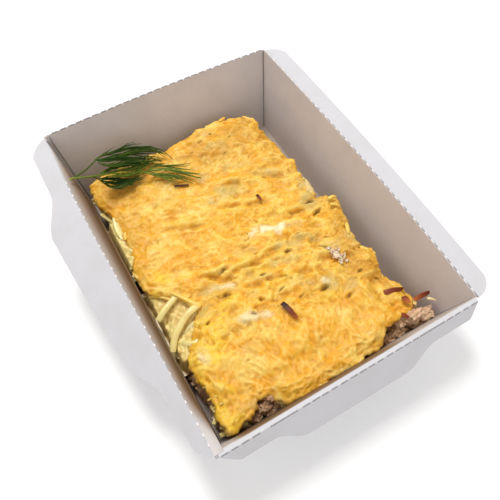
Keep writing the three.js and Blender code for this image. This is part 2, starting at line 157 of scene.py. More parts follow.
# A closed slab of board between two grids of points, the shown side first
def slabFaces(rows, columns):
    count = rows * columns
    at = lambda i, j, side: side * count + i * columns + j
    lastRow, lastColumn = rows - 1, columns - 1
    faces = []
    for i in range(lastRow):
        for j in range(lastColumn):
            faces.append((at(i, j, 0), at(i, j + 1, 0), at(i + 1, j + 1, 0), at(i + 1, j, 0)))
            faces.append((at(i, j, 1), at(i + 1, j, 1), at(i + 1, j + 1, 1), at(i, j + 1, 1)))
    for j in range(lastColumn):
        faces.append((at(0, j, 0), at(0, j, 1), at(0, j + 1, 1), at(0, j + 1, 0)))
        faces.append((at(lastRow, j, 0), at(lastRow, j + 1, 0), at(lastRow, j + 1, 1),
                      at(lastRow, j, 1)))
    for i in range(lastRow):
        faces.append((at(i, 0, 0), at(i + 1, 0, 0), at(i + 1, 0, 1), at(i, 0, 1)))
        faces.append((at(i, lastColumn, 0), at(i, lastColumn, 1), at(i + 1, lastColumn, 1),
                      at(i + 1, lastColumn, 0)))
    return faces


# Many loose bodies gathered into one mesh; a mask that a body doesn't name is nought on it
class Gathered:
    def __init__(self):
        self.points = []
        self.faces = []
        self.masks = []
        self.count = 0

    def add(self, points, faces, **masks):
        points = np.asarray(points, float).reshape(-1, 3)
        self.points.append(points)
        self.faces.extend([tuple(v + self.count for v in face) for face in faces])
        self.masks.append((len(points), masks))
        self.count += len(points)

    def build(self, name, material, sharpAngle):
        merged = {}
        for key in sorted({key for size, masks in self.masks for key in masks}):
            values = [np.broadcast_to(masks.get(key, 0.0), (size,)) for size, masks in self.masks]
            merged[key] = np.concatenate(values)
        return addMesh(name, np.concatenate(self.points), self.faces, material, merged, sharpAngle)


# Noise that is the same each run: soft, -1 to 1, over points in millimetres
def softNoise(points, size, seed, octaves=1, gain=0.5):
    random = np.random.default_rng(seed)
    table = random.permutation(256)
    gradients = random.normal(size=(256, 3))
    gradients /= np.linalg.norm(gradients, axis=1, keepdims=True)
    total = np.zeros(len(points))
    strength = 1.0
    for octave in range(octaves):
        p = points / size * 2 ** octave + 17.3 * octave
        cell = np.floor(p).astype(int)
        f = p - cell
        fade = f * f * f * (f * (f * 6 - 15) + 10)
        for corner in np.ndindex(2, 2, 2):
            c = cell + np.array(corner)
            h = table[(table[(table[c[:, 0] & 255] + c[:, 1]) & 255] + c[:, 2]) & 255]
            away = f - np.array(corner)
            weight = np.prod(np.where(np.array(corner) == 1, fade, 1 - fade), axis=1)
            total += strength * 1.6 * weight * (gradients[h] * away).sum(1)
        strength *= gain
    return total


# Shader helpers, and the node groups that several materials share

def srgb(r, g, b):
    linear = [v / 255 / 12.92 if v <= 10 else ((v / 255 + 0.055) / 1.055) ** 2.4 for v in (r, g, b)]
    return (*linear, 1.0)


def addNode(nodes, kind, **values):
    node = nodes.new(kind)
    for key, value in values.items():
        if hasattr(node, key):
            setattr(node, key, value)
        else:
            node.inputs[key.replace("_", " ")].default_value = value
    return node


# A node group that takes numbers and gives one thing
def newGroup(name, inputs, output, kind="NodeSocketFloat"):
    group = bpy.data.node_groups.new(name, "ShaderNodeTree")
    for title, value in inputs.items():
        socket = group.interface.new_socket(title, in_out="INPUT", socket_type="NodeSocketFloat")
        socket.default_value = value
    group.interface.new_socket(output, in_out="OUTPUT", socket_type=kind)
    return group, group.nodes.new("NodeGroupInput"), group.nodes.new("NodeGroupOutput")


# Links in a group, each as node, output, node, input
def connect(group, *links):
    for giver, output, taker, entry in links:
        group.links.new(giver.outputs[output], taker.inputs[entry])


# The links that stretch a value between two levels into a mask
def stretch(group, given, spread, out):
    connect(group, (given, "Low", spread, "From Min"), (given, "High", spread, "From Max"),
            (given, "Strength", spread, "To Max"), (spread, "Result", out, "Mask"))


# Blotches: noise in the object's own space, stretched between two levels into a mask
def makeBlotchGroup():
    levels = {"Scale": 100.0, "Detail": 3.0, "Low": 0.4, "High": 0.6, "Strength": 1.0}
    group, given, out = newGroup("blotches", levels, "Mask")
    place = addNode(group.nodes, "ShaderNodeTexCoord")
    noise = addNode(group.nodes, "ShaderNodeTexNoise", Roughness=0.55)
    spread = addNode(group.nodes, "ShaderNodeMapRange")
    connect(group, (place, "Object", noise, "Vector"), (given, "Scale", noise, "Scale"),
            (given, "Detail", noise, "Detail"), (noise, "Fac", spread, "Value"))
    stretch(group, given, spread, out)
    return group


# Spread: a value from the mesh, stretched between two levels into a mask
def makeSpreadGroup():
    levels = {"Value": 0.0, "Low": 0.0, "High": 1.0, "Strength": 1.0}
    group, given, out = newGroup("spread", levels, "Mask")
    spread = addNode(group.nodes, "ShaderNodeMapRange")
    connect(group, (given, "Value", spread, "Value"))
    stretch(group, given, spread, out)
    return group


# Grain: fine bumps over coarser ones, as a normal
def makeGrainGroup():
    levels = {"Scale": 1500.0, "Coarse Scale": 400.0, "Strength": 0.3, "Coarse Strength": 0.2,
              "Distance": 0.0002}
    group, given, out = newGroup("grain", levels, "Normal", "NodeSocketVector")
    place = addNode(group.nodes, "ShaderNodeTexCoord")
    fine = addNode(group.nodes, "ShaderNodeTexNoise", Detail=3.0, Roughness=0.6)
    coarse = addNode(group.nodes, "ShaderNodeTexNoise", Detail=2.0, Roughness=0.5)
    under = addNode(group.nodes, "ShaderNodeBump")
    over = addNode(group.nodes, "ShaderNodeBump")
    for noise, bump, prefix in ((fine, over, ""), (coarse, under, "Coarse ")):
        connect(group, (place, "Object", noise, "Vector"), (given, prefix + "Scale", noise, "Scale"),
                (noise, "Fac", bump, "Height"), (given, prefix + "Strength", bump, "Strength"),
                (given, "Distance", bump, "Distance"))
    connect(group, (under, "Normal", over, "Normal"), (over, "Normal", out, "Normal"))
    return group


sharedGroups = {"blotches": makeBlotchGroup(), "spread": makeSpreadGroup(), "grain": makeGrainGroup()}


# One material in the making: its nodes, links and shader, and short ways to place the groups
class Finish:
    def __init__(self, name, **constants):
        self.material = bpy.data.materials.new(name)
        self.material.use_nodes = True
        self.nodes = self.material.node_tree.nodes
        self.links = self.material.node_tree.links
        self.shader = self.nodes["Principled BSDF"]
        for key, value in constants.items():
            self.shader.inputs[key.replace("_", " ")].default_value = value

    def place(self, groupName, **values):
        node = self.nodes.new("ShaderNodeGroup")
        node.node_tree = sharedGroups[groupName]
        for key, value in values.items():
            node.inputs[key.replace("_", " ")].default_value = value
        return node

    def blotches(self, scale, low, high, strength, detail=3.0):
        levels = {"Scale": scale, "Low": low, "High": high, "Strength": strength, "Detail": detail}
        return self.place("blotches", **levels).outputs["Mask"]

    def mask(self, name, low, high, strength):
        source = addNode(self.nodes, "ShaderNodeAttribute", attribute_name=name)
        spread = self.place("spread", Low=low, High=high, Strength=strength)
        self.links.new(source.outputs["Fac"], spread.inputs["Value"])
        return spread.outputs["Mask"]

    # Each step lays one colour over the last, by a mask of the mesh or by blotches: the mask's name
    # or the blotches' scale, two levels, the strength, the colour, and a detail other than the usual
    def paint(self, first, steps):
        current = None
        for source, low, high, strength, color, *detail in steps:
            makeMask = self.mask if isinstance(source, str) else self.blotches
            factor = makeMask(source, low, high, strength, *detail)
            blend = addNode(self.nodes, "ShaderNodeMix", data_type="RGBA")
            if current is None:
                blend.inputs["A"].default_value = srgb(*first)
            else:
                self.links.new(current, blend.inputs["A"])
            blend.inputs["B"].default_value = srgb(*color)
            self.links.new(factor, blend.inputs["Factor"])
            current = blend.outputs["Result"]
        self.links.new(current, self.shader.inputs["Base Color"])

    def grain(self, **values):
        self.links.new(self.place("grain", **values).outputs["Normal"], self.shader.inputs["Normal"])


def floorMaterial():
    finish = Finish("studio floor", Roughness=0.9, Specular_IOR_Level=0.1)
    finish.shader.inputs["Base Color"].default_value = (*studio["floorColor"], 1)
    finish.shader.inputs["Emission Color"].default_value = (1, 1, 1, 1)
    finish.shader.inputs["Emission Strength"].default_value = studio["floorGlow"]
    return finish.material
# Paperboard tray

tray = {
    "board": 0.6, "rimHeight": 49, "wallRows": 12, "floorGrid": 8,
    # the walls' inner faces at the floor and at the rim: left, right, front, back
    "feet": (-60, 60, -80, 80), "rims": (-63.7, 66, -91.5, 93),
    # the left wall: where its two ends taper, how much they rise, and how far the rear one stands out
    "backTaper": (50, 88), "frontTaper": (-62, -89), "endRise": 8.6, "cornerOut": 5.0,
    # the left strip: its bow, width and drop, its rolled section, and how dark its painted shade is from
    # edge to fold
    "stripBow": (0.3, 2.6), "stripWidth": 3.4, "stripDrop": 9.6, "stripShade": 1.8, "stripFade": 0.32,
    "stripRoll": ((1, 1), (0.93, 0.72), (0.8, 0.46), (0.6, 0.24), (0.3, 0.08)),
    # the flanges: their narrow ends, and where the ear begins and is full, as shares of the length
    "flangeNarrow": 10.5, "earStart": 0.18, "earFull": 0.3, "earFold": 72, "endGap": 1.2,
    "slitPitch": 4.6, "slitLength": 3.3, "slitGap": 0.42, "toothRise": 0.25,
    # how far food may reach at the floor, and how that changes per mm of height: left, right, front, back
    "foodLimits": ((-59.6, -0.0755), (59.5, 0.1224), (-79.5, -0.2347), (79.5, 0.2653)),
    # the seams between the walls: foot, top
    "seams": [((59.3, 79.3, 0.8), (64.95, 91.95, 48.7)), ((-59.3, 79.3, 0.8), (-66.05, 91.95, 48.7)),
              ((59.3, -79.3, 0.8), (64.95, -90.25, 46)), ((-59.3, -79.3, 0.8), (-62.85, -90.25, 46))],
    # the seam beside the left strip's rear end
    "stripSeam": [(-68.0, 89, 49.1), (-66.4, 76, 47.8), (-64.9, 62, 44), (-63.4, 50, 40.5),
                  (-62.8, 38, 39.8)],
}

# Each side: which way it faces, its size, how its flange is folded, and the flange's two ends:
# how far back each is cut and how round it is; also how dark the painted shade in its slits is, and
# how strongly grease and painted shade darken its inner face, growing downwards from a height
sides = {
    "left": {
        "out": (-1, 0), "along": (0, 1), "half": 66, "reach": 93, "strip": True, "wallTop": 39.2,
        "wallBow": 0, "wide": 20.5, "fold": 37, "twist": -0.23, "cuts": ((7, 0.4), (7, 0.7)),
        "longSlits": (), "nick": 0.6, "slitShade": 0.12, "soaked": 0.65, "greaseAndShadeFrom": 160,
    },
    "front": {
        "out": (0, -1), "along": (1, 0), "half": 93, "reach": 66, "strip": True, "wallTop": 48.6,
        "wallBow": 0, "wide": 22, "fold": 70, "twist": 0, "cuts": ((7.5, 0.15), (3, 0.0)),
        "longSlits": ((0.175, 0.273), (0.748, 0.854)),
        "nick": 0.0, "slitShade": 0.7, "soaked": 1.2, "greaseAndShadeFrom": 110,
    },
    "right": {
        "out": (1, 0), "along": (0, -1), "half": 66, "reach": 93, "strip": False, "wallTop": 49,
        "wallBow": 1.8, "wide": 22, "fold": 7, "twist": 0, "cuts": ((6, 0.8), (8, 0.9)), "longSlits": (),
        "nick": 0.5, "slitShade": 0.5, "soaked": 0.1, "greaseAndShadeFrom": 20,
    },
    "back": {
        "out": (0, 1), "along": (-1, 0), "half": 93, "reach": 66, "strip": False, "wallTop": 49,
        "wallBow": 1.6, "wide": 22, "fold": 72, "twist": 0, "cuts": ((6, 0.6), (6, 0.6)), "longSlits": (),
        "nick": 0.0, "slitShade": 0.8, "soaked": 0.3, "greaseAndShadeFrom": 40,
    },
}


# The slits along a side: from, to
def slitSpans(reach, longSlits=()):
    usable = reach - tray["endGap"]
    count = int(2 * usable / tray["slitPitch"])
    pitch = 2 * usable / count
    spans = []
    for n in range(count):
        start = -usable + n * pitch + (pitch - tray["slitLength"]) / 2
        spans.append((start, start + tray["slitLength"] * (1 + 0.12 * math.sin(5 * n))))
    for low, high in longSlits:
        low, high = mix(-usable, usable, low), mix(-usable, usable, high)
        spans = [s for s in spans if s[1] < low - 0.6 or s[0] > high + 0.6] + [(low, high)]
    return spans


# Stations along a side, with the steep ends of each slit, and 1 inside a slit
def foldStations(reach, spans):
    usable = reach - tray["endGap"]
    places = {-usable, usable}
    for d in (0.4, 0.9, 1.6, 2.5, 3.6, 4.8, 6.2, 7.8):
        places |= {-usable + d, usable - d}
    for start, end in spans:
        places |= {start - 0.1, start + 0.1, end - 0.1, end + 0.1}
        places |= {mix(start, end, t) for t in np.linspace(0.12, 0.88, 2 + int((end - start) / 3))}
    inSlit = lambda s: 1.0 if any(start < s < end for start, end in spans) else 0.0
    return [(s, inSlit(s)) for s in sorted(places)]


# How wide the flange is: narrow ends, a wide ear between them, and its ends cut back
def flangeWidth(fromStart, fromEnd, facts):
    length = fromStart + fromEnd
    ear = float(ramp(min(fromStart, fromEnd) / length, tray["earStart"], tray["earFull"]))
    width = mix(tray["flangeNarrow"], facts["wide"], ear)
    for d, (cut, roundness) in zip((fromStart, fromEnd), facts["cuts"]):
        t = min(d / cut, 1)
        width *= mix(t, math.sqrt(1 - (1 - t) ** 2), roundness)
    return max(width, 0.25)


# The walls' inner faces at a share of the height: left, right, front, back
def wallBox(share, inset):
    left, right, front, back = (mix(foot, rim, share) for foot, rim in zip(tray["feet"], tray["rims"]))
    return left + inset, right - inset, front + inset, back - inset


# The left strip narrows to nothing at the back corner, and lies flat at the front one
def backTaper(y):
    start, end = tray["backTaper"]
    return min(max((y - start) / (end - start), 0), 1)


def frontTaper(y):
    return float(ramp(y, *tray["frontTaper"]))


def wallPoint(side, t, share, inset):
    left, right, front, back = wallBox(share, inset)
    bow = sides[side]["wallBow"] * (share * (1 - (2 * t - 1) ** 2))
    z = share * tray["rimHeight"]
    if side == "left":
        y = mix(front, back, t)
        z += tray["endRise"] * share * max(backTaper(y), frontTaper(y))
        left, right, front, back = wallBox(z / tray["rimHeight"], inset)
        y = mix(front, back, t)
        return (left - tray["cornerOut"] * z / tray["rimHeight"] * backTaper(y), y, z)
    if side == "right":
        return (right + bow, mix(back, front, t), z)
    if side == "front":
        return (mix(left, right, t), front, z)
    return (mix(right, left - tray["cornerOut"] * share, t), back + bow, z)


def addWalls(body):
    inset = tray["board"] * 1.04
    low = tray["board"] / tray["rimHeight"] * 0.5
    rows = tray["wallRows"]
    for side, facts in sides.items():
        reach = facts["reach"]
        stations = [(-reach, 0.0)] + foldStations(reach, slitSpans(reach)) + [(reach, 0.0)]
        inner, outer = [], []
        for i in range(rows + 1):
            share = i / rows * facts["wallTop"] / tray["rimHeight"]
            for s, slit in stations:
                rise = tray["toothRise"] * slit if i == rows and not facts["strip"] else 0
                for points, level, inward in ((inner, max(share, low), inset), (outer, share, 0)):
                    x, y, z = wallPoint(side, (s / reach + 1) / 2, level, inward)
                    points.append((x, y, z + rise))
        inside = np.repeat([1.0, 0.0], len(inner))
        places = np.array(inner + outer)
        height = places[:, 2]
        # grease and painted shade darken each inner face, more towards the floor
        soaked = facts["soaked"] * inside * ramp(height, facts["greaseAndShadeFrom"], 12)
        # grease and painted shade darken the left wall's top too, and are weaker towards the front wall's
        # ends
        if side == "left":
            soaked += 0.6 * inside * ramp(height, 33, 38)
        if side == "front":
            soaked *= ramp(places[:, 0], -60, -50) * (1 - 0.6 * ramp(places[:, 0], 15, 35))
        body.add(inner + outer, slabFaces(rows + 1, len(stations)), inside=inside, soaked=soaked)


def addFloor(body):
    grid = tray["floorGrid"]
    left, right, front, back = tray["feet"]
    top, bottom = [], []
    for i in range(grid + 1):
        for j in range(grid + 1):
            x, y = mix(left, right, j / grid), mix(front, back, i / grid)
            top.append((x * 0.995, y * 0.996, tray["board"]))
            bottom.append((x, y, 0))
    inside = np.repeat([1.0, 0.0], len(top))
    # grease and painted shade darken the tray's floor all over
    body.add(top + bottom, slabFaces(grid + 1, grid + 1), inside=inside, soaked=0.6 * inside)


def boardPoint(facts, s, out, z, bow):
    (ox, oy), (ax, ay) = facts["out"], facts["along"]
    away = facts["half"] + out + bow
    return (ax * s + ox * away, ay * s + oy * away, z)


# Keeps food on the inner side of the walls
def keptInTray(points):
    x, y, z = points.T
    left, right, front, back = (foot + slope * z for foot, slope in tray["foodLimits"])
    return np.stack([np.clip(x, left, right), np.clip(y, front, back), z], 1)


# A bent strip of board along a side: each station gives the section as (out, up) pairs
def addBent(body, facts, stations, section, bows, inside=0.0):
    lines = []
    for s, slit in stations:
        line = np.array(section(s, slit), float)
        step = np.gradient(line, axis=0)
        normal = np.stack([-step[:, 1], step[:, 0]], 1)
        normal /= np.linalg.norm(normal, axis=1, keepdims=True)
        normal *= np.sign(normal[:, 1:2] + 1e-6)
        lines.append((s, line, line - normal * tray["board"]))
    steps = len(lines[0][1])
    upper, lower = [], []
    for k in range(steps):
        for s, line, under in lines:
            upper.append(boardPoint(facts, s, *line[k], bows(s)))
            lower.append(boardPoint(facts, s, *under[k], bows(s)))
    # painted shade along the left strip: darkest at its inner edge, fading towards the fold and at the
    # strip's ends
    flat = np.array([1 - 0.75 * frontTaper(s) - 0.5 * backTaper(s) for s, slit in stations])
    fade = np.linspace(1, tray["stripFade"], steps)[:, None] ** 1.2
    soaked = (tray["stripShade"] * fade * flat * inside).ravel()
    body.add(upper + lower, slabFaces(steps, len(stations)), inside=inside, soaked=np.tile(soaked, 2))


# A small block of board along the fold: from, to, how far out, and its height
def addBlock(body, facts, bows, along, out, up, **masks):
    corners = [boardPoint(facts, s, o, z, bows(s)) for z in up for s in along for o in out]
    faces = [(0, 2, 3, 1), (4, 5, 7, 6), (0, 1, 5, 4), (2, 6, 7, 3), (0, 4, 6, 2), (1, 3, 7, 5)]
    body.add(corners, faces, **masks)


def addRim(body, side):
    facts = sides[side]
    reach = facts["reach"]
    height = tray["rimHeight"]
    spans = slitSpans(reach, facts["longSlits"])
    stations = foldStations(reach, spans)
    usable = reach - tray["endGap"]
    bows = lambda s: facts["wallBow"] * (1 - (s / reach) ** 2)
    if side == "left":
        least, more = tray["stripBow"]
        bows = lambda s: least + more * float(ramp(s, -85, 48)) * (1 - 0.3 * float(ramp(s, 50, 92)))

    # the left strip rolls inwards, and the front one lies flat
    def stripSection(s, slit):
        edge = -0.3 * tray["slitGap"] * slit
        if side == "left":
            wide = (tray["stripWidth"] + bows(s)) * (1 - backTaper(s)) + 0.4
            drop = tray["stripDrop"] * (1 - backTaper(s)) * (1 - frontTaper(s))
            rolled = [(-wide * share, height - drop * fall) for share, fall in tray["stripRoll"]]
            return rolled + [(edge, height)]
        return [(-1.8, height - 0.26), (-1.1, height - 0.14), (-0.5, height), (edge, height)]

    # the right flange stays level, and its ear turns down
    def flangeSection(s, slit):
        width = flangeWidth(s + usable, usable - s, facts)
        angle = math.radians(facts["fold"] + facts["twist"] * s)
        first = min(0.7 * tray["slitGap"] * slit, 0.6 * width)
        level = min(width, tray["flangeNarrow"]) if side == "right" else width
        places = [first] + [mix(first, level, t) for t in (0.06, 0.2, 0.4, 0.6, 0.8, 1.0)]
        line = [(d * math.cos(angle), height - d * math.sin(angle)) for d in places]
        if side == "right":
            ear = math.radians(tray["earFold"])
            rest = width - level + 0.3
            x, z = line[-1]
            line += [(x + d * math.cos(ear), z - d * math.sin(ear)) for d in (rest * 0.1, rest * 0.5, rest)]
        return line

    if facts["strip"]:
        addBent(body, facts, stations, stripSection, bows, inside=1.0 if side == "left" else 0.0)
    addBent(body, facts, stations, flangeSection, bows)
    # painted shade: a dark block under each slit, and dark teeth over the back and right folds; and the
    # board's torn white edge between the slits
    for n, (start, end) in enumerate(spans):
        addBlock(body, facts, bows, (start, end), (-0.3, 0.35), (height - 0.62, height - 0.3),
                 slit=facts["slitShade"])
        if side == "back":
            addBlock(body, facts, bows, (start, end), (-0.66, 0.1), (height - 0.1, height + 0.3), slit=0.6)
        if side == "right" and start > -62:
            addBlock(body, facts, bows, (start + 0.8, end), (-0.36, 0.04), (height - 0.5, height + 0.28),
                     slit=0.62 * float(ramp(start, -64, -30)))
        if facts["nick"] and not (side == "left" and start > 58):
            width = 0.32 * facts["nick"] * (1 + 0.3 * math.sin(7 * n))
            addBlock(body, facts, bows, (end + 0.1, end + 1.3), (-width, width),
                     (height - 0.2, height + 0.22), edge=1.0)
    if side == "left":
        addSeam(body, tray["stripSeam"], 0.34, 0.8)


# A thin seam along a path, painted dark as the shade in the fold
def addSeam(body, path, thick, tone):
    body.add(*tube(path, lambda t: thick, lambda t: thick, 6), slit=tone)


def addTray():
    body = Gathered()
    addWalls(body)
    addFloor(body)
    for side in sides:
        addRim(body, side)
    # a crumpled corner closes the gap between the two strips at the front left, painted partly dark as shade
    addBlock(body, sides["front"], lambda s: 0.0, (-66.3, -64.3), (-1.7, 0.0), (48.25, 48.7), slit=0.4)
    for path in tray["seams"]:
        addSeam(body, path, 0.26, 0.6)
    thing = body.build("paperboard_tray", boardMaterial(), sharpAngle=30)
    standFor(thing, "tray")


def boardMaterial():
    finish = Finish("white paperboard", Roughness=0.62, Specular_IOR_Level=0.35)
    finish.paint((212, 211, 215), [
        ("inside", 0, 1, 1.0, (224, 217, 217)),
        (60, 0.4, 0.65, 0.35, (202, 199, 200), 4.0),
        (1400, 0.5, 0.7, 0.2, (190, 186, 184)),
        # grease and painted shade, darker in three steps
        ("soaked", 0, 0.5, 0.8, (180, 170, 160)),
        ("soaked", 0.35, 0.85, 0.9, (132, 104, 78)),
        ("soaked", 0.8, 1.25, 0.85, (74, 50, 30)),
        ("edge", 0, 1, 1.0, (244, 240, 240)),
        # painted shade in the slits, the teeth and the seams
        ("slit", 0, 1, 1.0, (74, 64, 58)),
    ])
    finish.grain(Scale=2600.0, Coarse_Scale=300.0, Strength=0.12, Coarse_Strength=0.08, Distance=0.0001)
    return finish.material


# Cheese crust

slab = {
    "left": -57.2, "right": 45.2, "front": -77.4, "back": 71.4,
    "columns": 230, "rows": 336, "corner": 0.02, "lean": 0.19,
    "middle": (-7.0, -3.0), "crustTop": 27, "crustCeiling": 22, "rimOut": 0.4,
    # how far the front edge stands out, and the valley across the middle: depth, place, slant, width
    "frontOut": 1.4, "valley": (1.5, -4, -0.08, 8),
    # the hem's height at the front, the left and the right, and the front hem's dips: depth, place, width
    "hems": (18.4, 19.2, 17), "hemDips": ((8.5, -56, 7), (7, -8, 12)),
    # the bay on the left: its depth, and between which places it opens and closes
    "bay": (3.6, (8, 18), (46, 58)),
    # the crust's section at its edge: how far out and how far down, the drop at which it turns to hang,
    # and its underside: how far out, and how far over the hem
    "profileTurn": 2.2, "underside": ((0.45, 0.3), (0.15, 1.2), (-1.35, 2.6)),
    "profile": [
        (0.9, 0.12), (1.4, 0.4), (1.85, 0.85), (2.15, 1.45), (2.3, 2.1), (2.3, 2.8), (2.15, 3.5),
        (1.95, 4.2), (1.8, 4.9), (1.7, 5.6), (1.65, 6.3), (1.5, 7.0), (1.3, 7.6), (1.0, 8.1),
    ],
}

relief = {
    "across": (-66, 64), "along": (-92, 82), "step": 0.35, "fibreAngle": -16,
    # threads and clumps of grated cheese: how many, length, half width and height
    "threads": {"count": 6500, "length": (3, 9), "halfWidth": (0.3, 0.66), "height": (0.28, 0.8),
                "sway": 28},
    "clumps": {"count": 520, "length": (3, 9), "halfWidth": (1.1, 2.4), "height": (0.6, 1.6), "sway": 34},
    # little holes, painted dark as shade: place, half length and depth
    "pits": [
        (16.3, 68.9, 1.0, 1.5), (16.8, 52.3, 1.0, 1.2), (0.6, 62.1, 0.9, 1.0), (27.3, 26.8, 1.1, 1.2),
        (40.5, -6.4, 2.1, 2.2), (40.3, 0.5, 2.0, 1.4), (13.3, -20.2, 1.6, 1.9), (-0.8, -12.1, 1.0, 1.3),
        (18.2, -46.5, 1.8, 1.9), (38.6, -47.5, 1.4, 1.6), (43.7, -54.6, 1.2, 1.4), (0.0, -35.9, 1.4, 1.9),
        (4.8, -31.1, 1.0, 1.3), (26.9, -55.3, 1.7, 1.5), (10.8, 8.6, 0.8, 0.9), (22.7, -14.0, 1.2, 1.1),
        (-25.5, -25.5, 1.8, 1.9), (-29.4, -24.5, 1.0, 1.3), (-11.2, -35.6, 1.7, 1.5),
        (-39.8, -33.8, 1.2, 1.5), (-53.0, -7.7, 1.1, 1.6), (-32.6, -58.1, 0.7, 0.9),
        (-38.0, -66.7, 0.7, 0.8), (-34.9, -70.1, 0.8, 0.8), (-20.5, -13.5, 2.2, 1.5),
        (-4.0, -24.5, 1.5, 1.4), (-18.5, -40.5, 1.5, 1.4), (30.5, -26.5, 1.3, 1.2), (24.0, 61.0, 1.2, 1.0),
        (8.5, 66.5, 1.4, 1.0), (36.0, -22.0, 1.2, 1.2), (6.0, -44.0, 1.2, 1.1),
    ],
    # long folds: from, to, half width and depth
    "folds": [
        (-31, -11, -20, -18, 1.3, 1.5), (-20, -17, -6, -16.5, 1.4, 1.1), (-4, -17, 9, -15.5, 1.4, 1.3),
        (18, -17, 30, -21, 1.6, 1.1), (-16, -38, 6, -40, 1.2, 1.0), (12, 6, 34, -2, 1.4, 0.8),
        (6, 33, 20, 26, 1.7, 1.0), (24, 30, 36, 22, 1.4, 0.9), (-8, 62, 10, 55, 1.5, 0.8),
        (-12, -27, 4, -29, 1.2, 1.2), (8, -33, 22, -35, 1.3, 1.1), (26, -31, 40, -38, 1.3, 1.0),
        (2, 19, 18, 12, 1.4, 0.8), (-34, 22, -18, 16, 1.4, 0.6),
    ],
    # soft raised lumps: place, half sizes and height
    "mounds": [(12.0, -3.8, 7.0, 2.6, 1.5), (20.5, -46, 7, 4, 0.7), (-25, -21.5, 6, 2.6, 0.9)],
}

# Patches of colour: place, half sizes along and across the fibres, strength
patches = {
    "pale": [
        (5.7, 28.9, 9, 4, 1.0), (-3.5, 26.6, 6, 3, 0.8), (30, 30, 8, 2.6, 0.7), (20, 40, 9, 2.5, 0.7),
        (40, 2, 6, 5, 0.9), (21.2, -45, 7, 4.5, 1.0), (20, -17, 11, 3.6, 0.9), (9, -23, 7, 3, 0.7),
        (-24, -20.5, 9, 3, 0.8), (-33, -19, 6, 3, 0.7), (-40, -27, 6, 4, 0.7), (4, -82, 7, 2.6, 0.6),
        (-39, -73, 7, 2.4, 0.6), (-27, -82, 5, 3, 0.6), (43, 13, 3.5, 6, 0.9), (-5, -9, 8, 3, 0.5),
        (-20, -42, 12, 4, 0.4), (14, 60, 6, 3, 0.5), (-2, 44, 7, 3, 0.5), (48, -28, 3, 7, 0.6),
        (-30, 40, 8, 3, 0.4), (27, -8, 7, 2.5, 0.6), (-6, -25, 8, 3, 0.6), (8, -37, 7, 3, 0.6),
        (30, -52, 6, 3, 0.5), (36, -28, 5, 4, 0.6), (14, 72, 6, 3, 0.6), (-24, 50, 5, 3, 0.4),
    ],
    "brown": [
        (-36, 3, 9, 5, 0.9), (-22, -6, 8, 4, 1.0), (-32, -50, 7, 4, 0.8), (46, -68, 6, 4, 0.7),
        (51, -71, 5, 4, 0.7), (-36, 27, 10, 5, 0.6), (43, 60, 6, 6, 0.7), (38, 29, 5, 5, 0.6),
        (23, -57, 7, 3, 0.5), (43, -12, 4, 4, 0.6), (-46, 60, 8, 8, 0.9), (38, -37, 6, 5, 0.8),
        (-10, 36, 6, 3, 0.6), (10, -60, 12, 5, 0.4), (26, 68, 9, 3, 0.6), (-14, -72, 9, 4, 0.4),
        (46, -45, 4, 6, 0.8), (0, 66, 10, 4, 0.6), (-24, 56, 8, 4, 0.5), (14, -30, 5, 3, 0.5),
        (-48, 40, 6, 6, 0.5), (34, -66, 8, 4, 0.5), (-52, 52, 5, 9, 0.6), (42, -44, 7, 9, 0.7),
        (46, -54, 5, 7, 0.6), (22, -45, 8, 5, 0.5),
    ],
    "lemon": [
        (-46, -45, 10, 7, 1.1), (-38, -36, 9, 6, 1.0), (-54, -66, 6, 9, 1.0), (-28, -28, 10, 4, 0.7),
        (-52, -78, 5, 5, 0.8), (-50, -1, 6, 5, 0.9), (-57, -8, 4, 4, 0.8), (-54, -52, 5, 8, 0.9),
        (20, -50, 7, 3, 0.7), (44, -18, 5, 6, 0.6), (12, 0, 9, 3, 0.6), (34, -60, 8, 4, 0.4),
        (-5, -22, 14, 4, 0.5), (30, -42, 6, 6, 0.7), (26, 4, 6, 4, 0.5), (50, -4, 4, 4, 0.7),
        (-34, -36, 10, 4, 0.6), (2, -32, 8, 4, 0.6),
    ],
    # painted shade where the crust lies in shadow, at the back and along the right side
    "ochre": [
        (46, -20, 5, 18, 1.0), (42, -34, 7, 9, 1.0), (45, 2, 5, 5, 0.7), (21, -45, 10, 6, 0.8),
        (41, -48, 10, 10, 1.2), (38, -40, 7, 7, 1.0), (46, -56, 5, 7, 0.9), (6, 64, 8, 7, 0.8),
        (38, 36, 6, 14, 0.6), (32, 58, 14, 12, 1.0), (10, 56, 16, 12, 0.9), (-44, 58, 12, 10, 0.8),
        (-14, 46, 14, 6, 0.4), (8, 28, 12, 7, 0.5), (-34, -36, 8, 5, 0.3), (-24, -22, 12, 3, 0.5),
        (26, -14, 12, 5, 0.4), (-2, -22, 10, 3, 0.3), (30, 20, 10, 6, 0.4), (54, -66, 4, 9, 0.4),
        (-50, 34, 6, 12, 0.4), (4, 50, 13, 8, 0.5),
    ],
    "cream": [
        (12.2, -3.2, 7.5, 3.0, 1.3), (16.0, -5.0, 5.0, 2.6, 1.1), (-20, -41.5, 8, 2.6, 0.7),
        (-24, -21, 5, 1.8, 0.7), (46, 9, 3, 3, 0.5), (-50, -47, 2.5, 4, 0.6), (20, -43.5, 3, 1.6, 0.6),
    ],
}

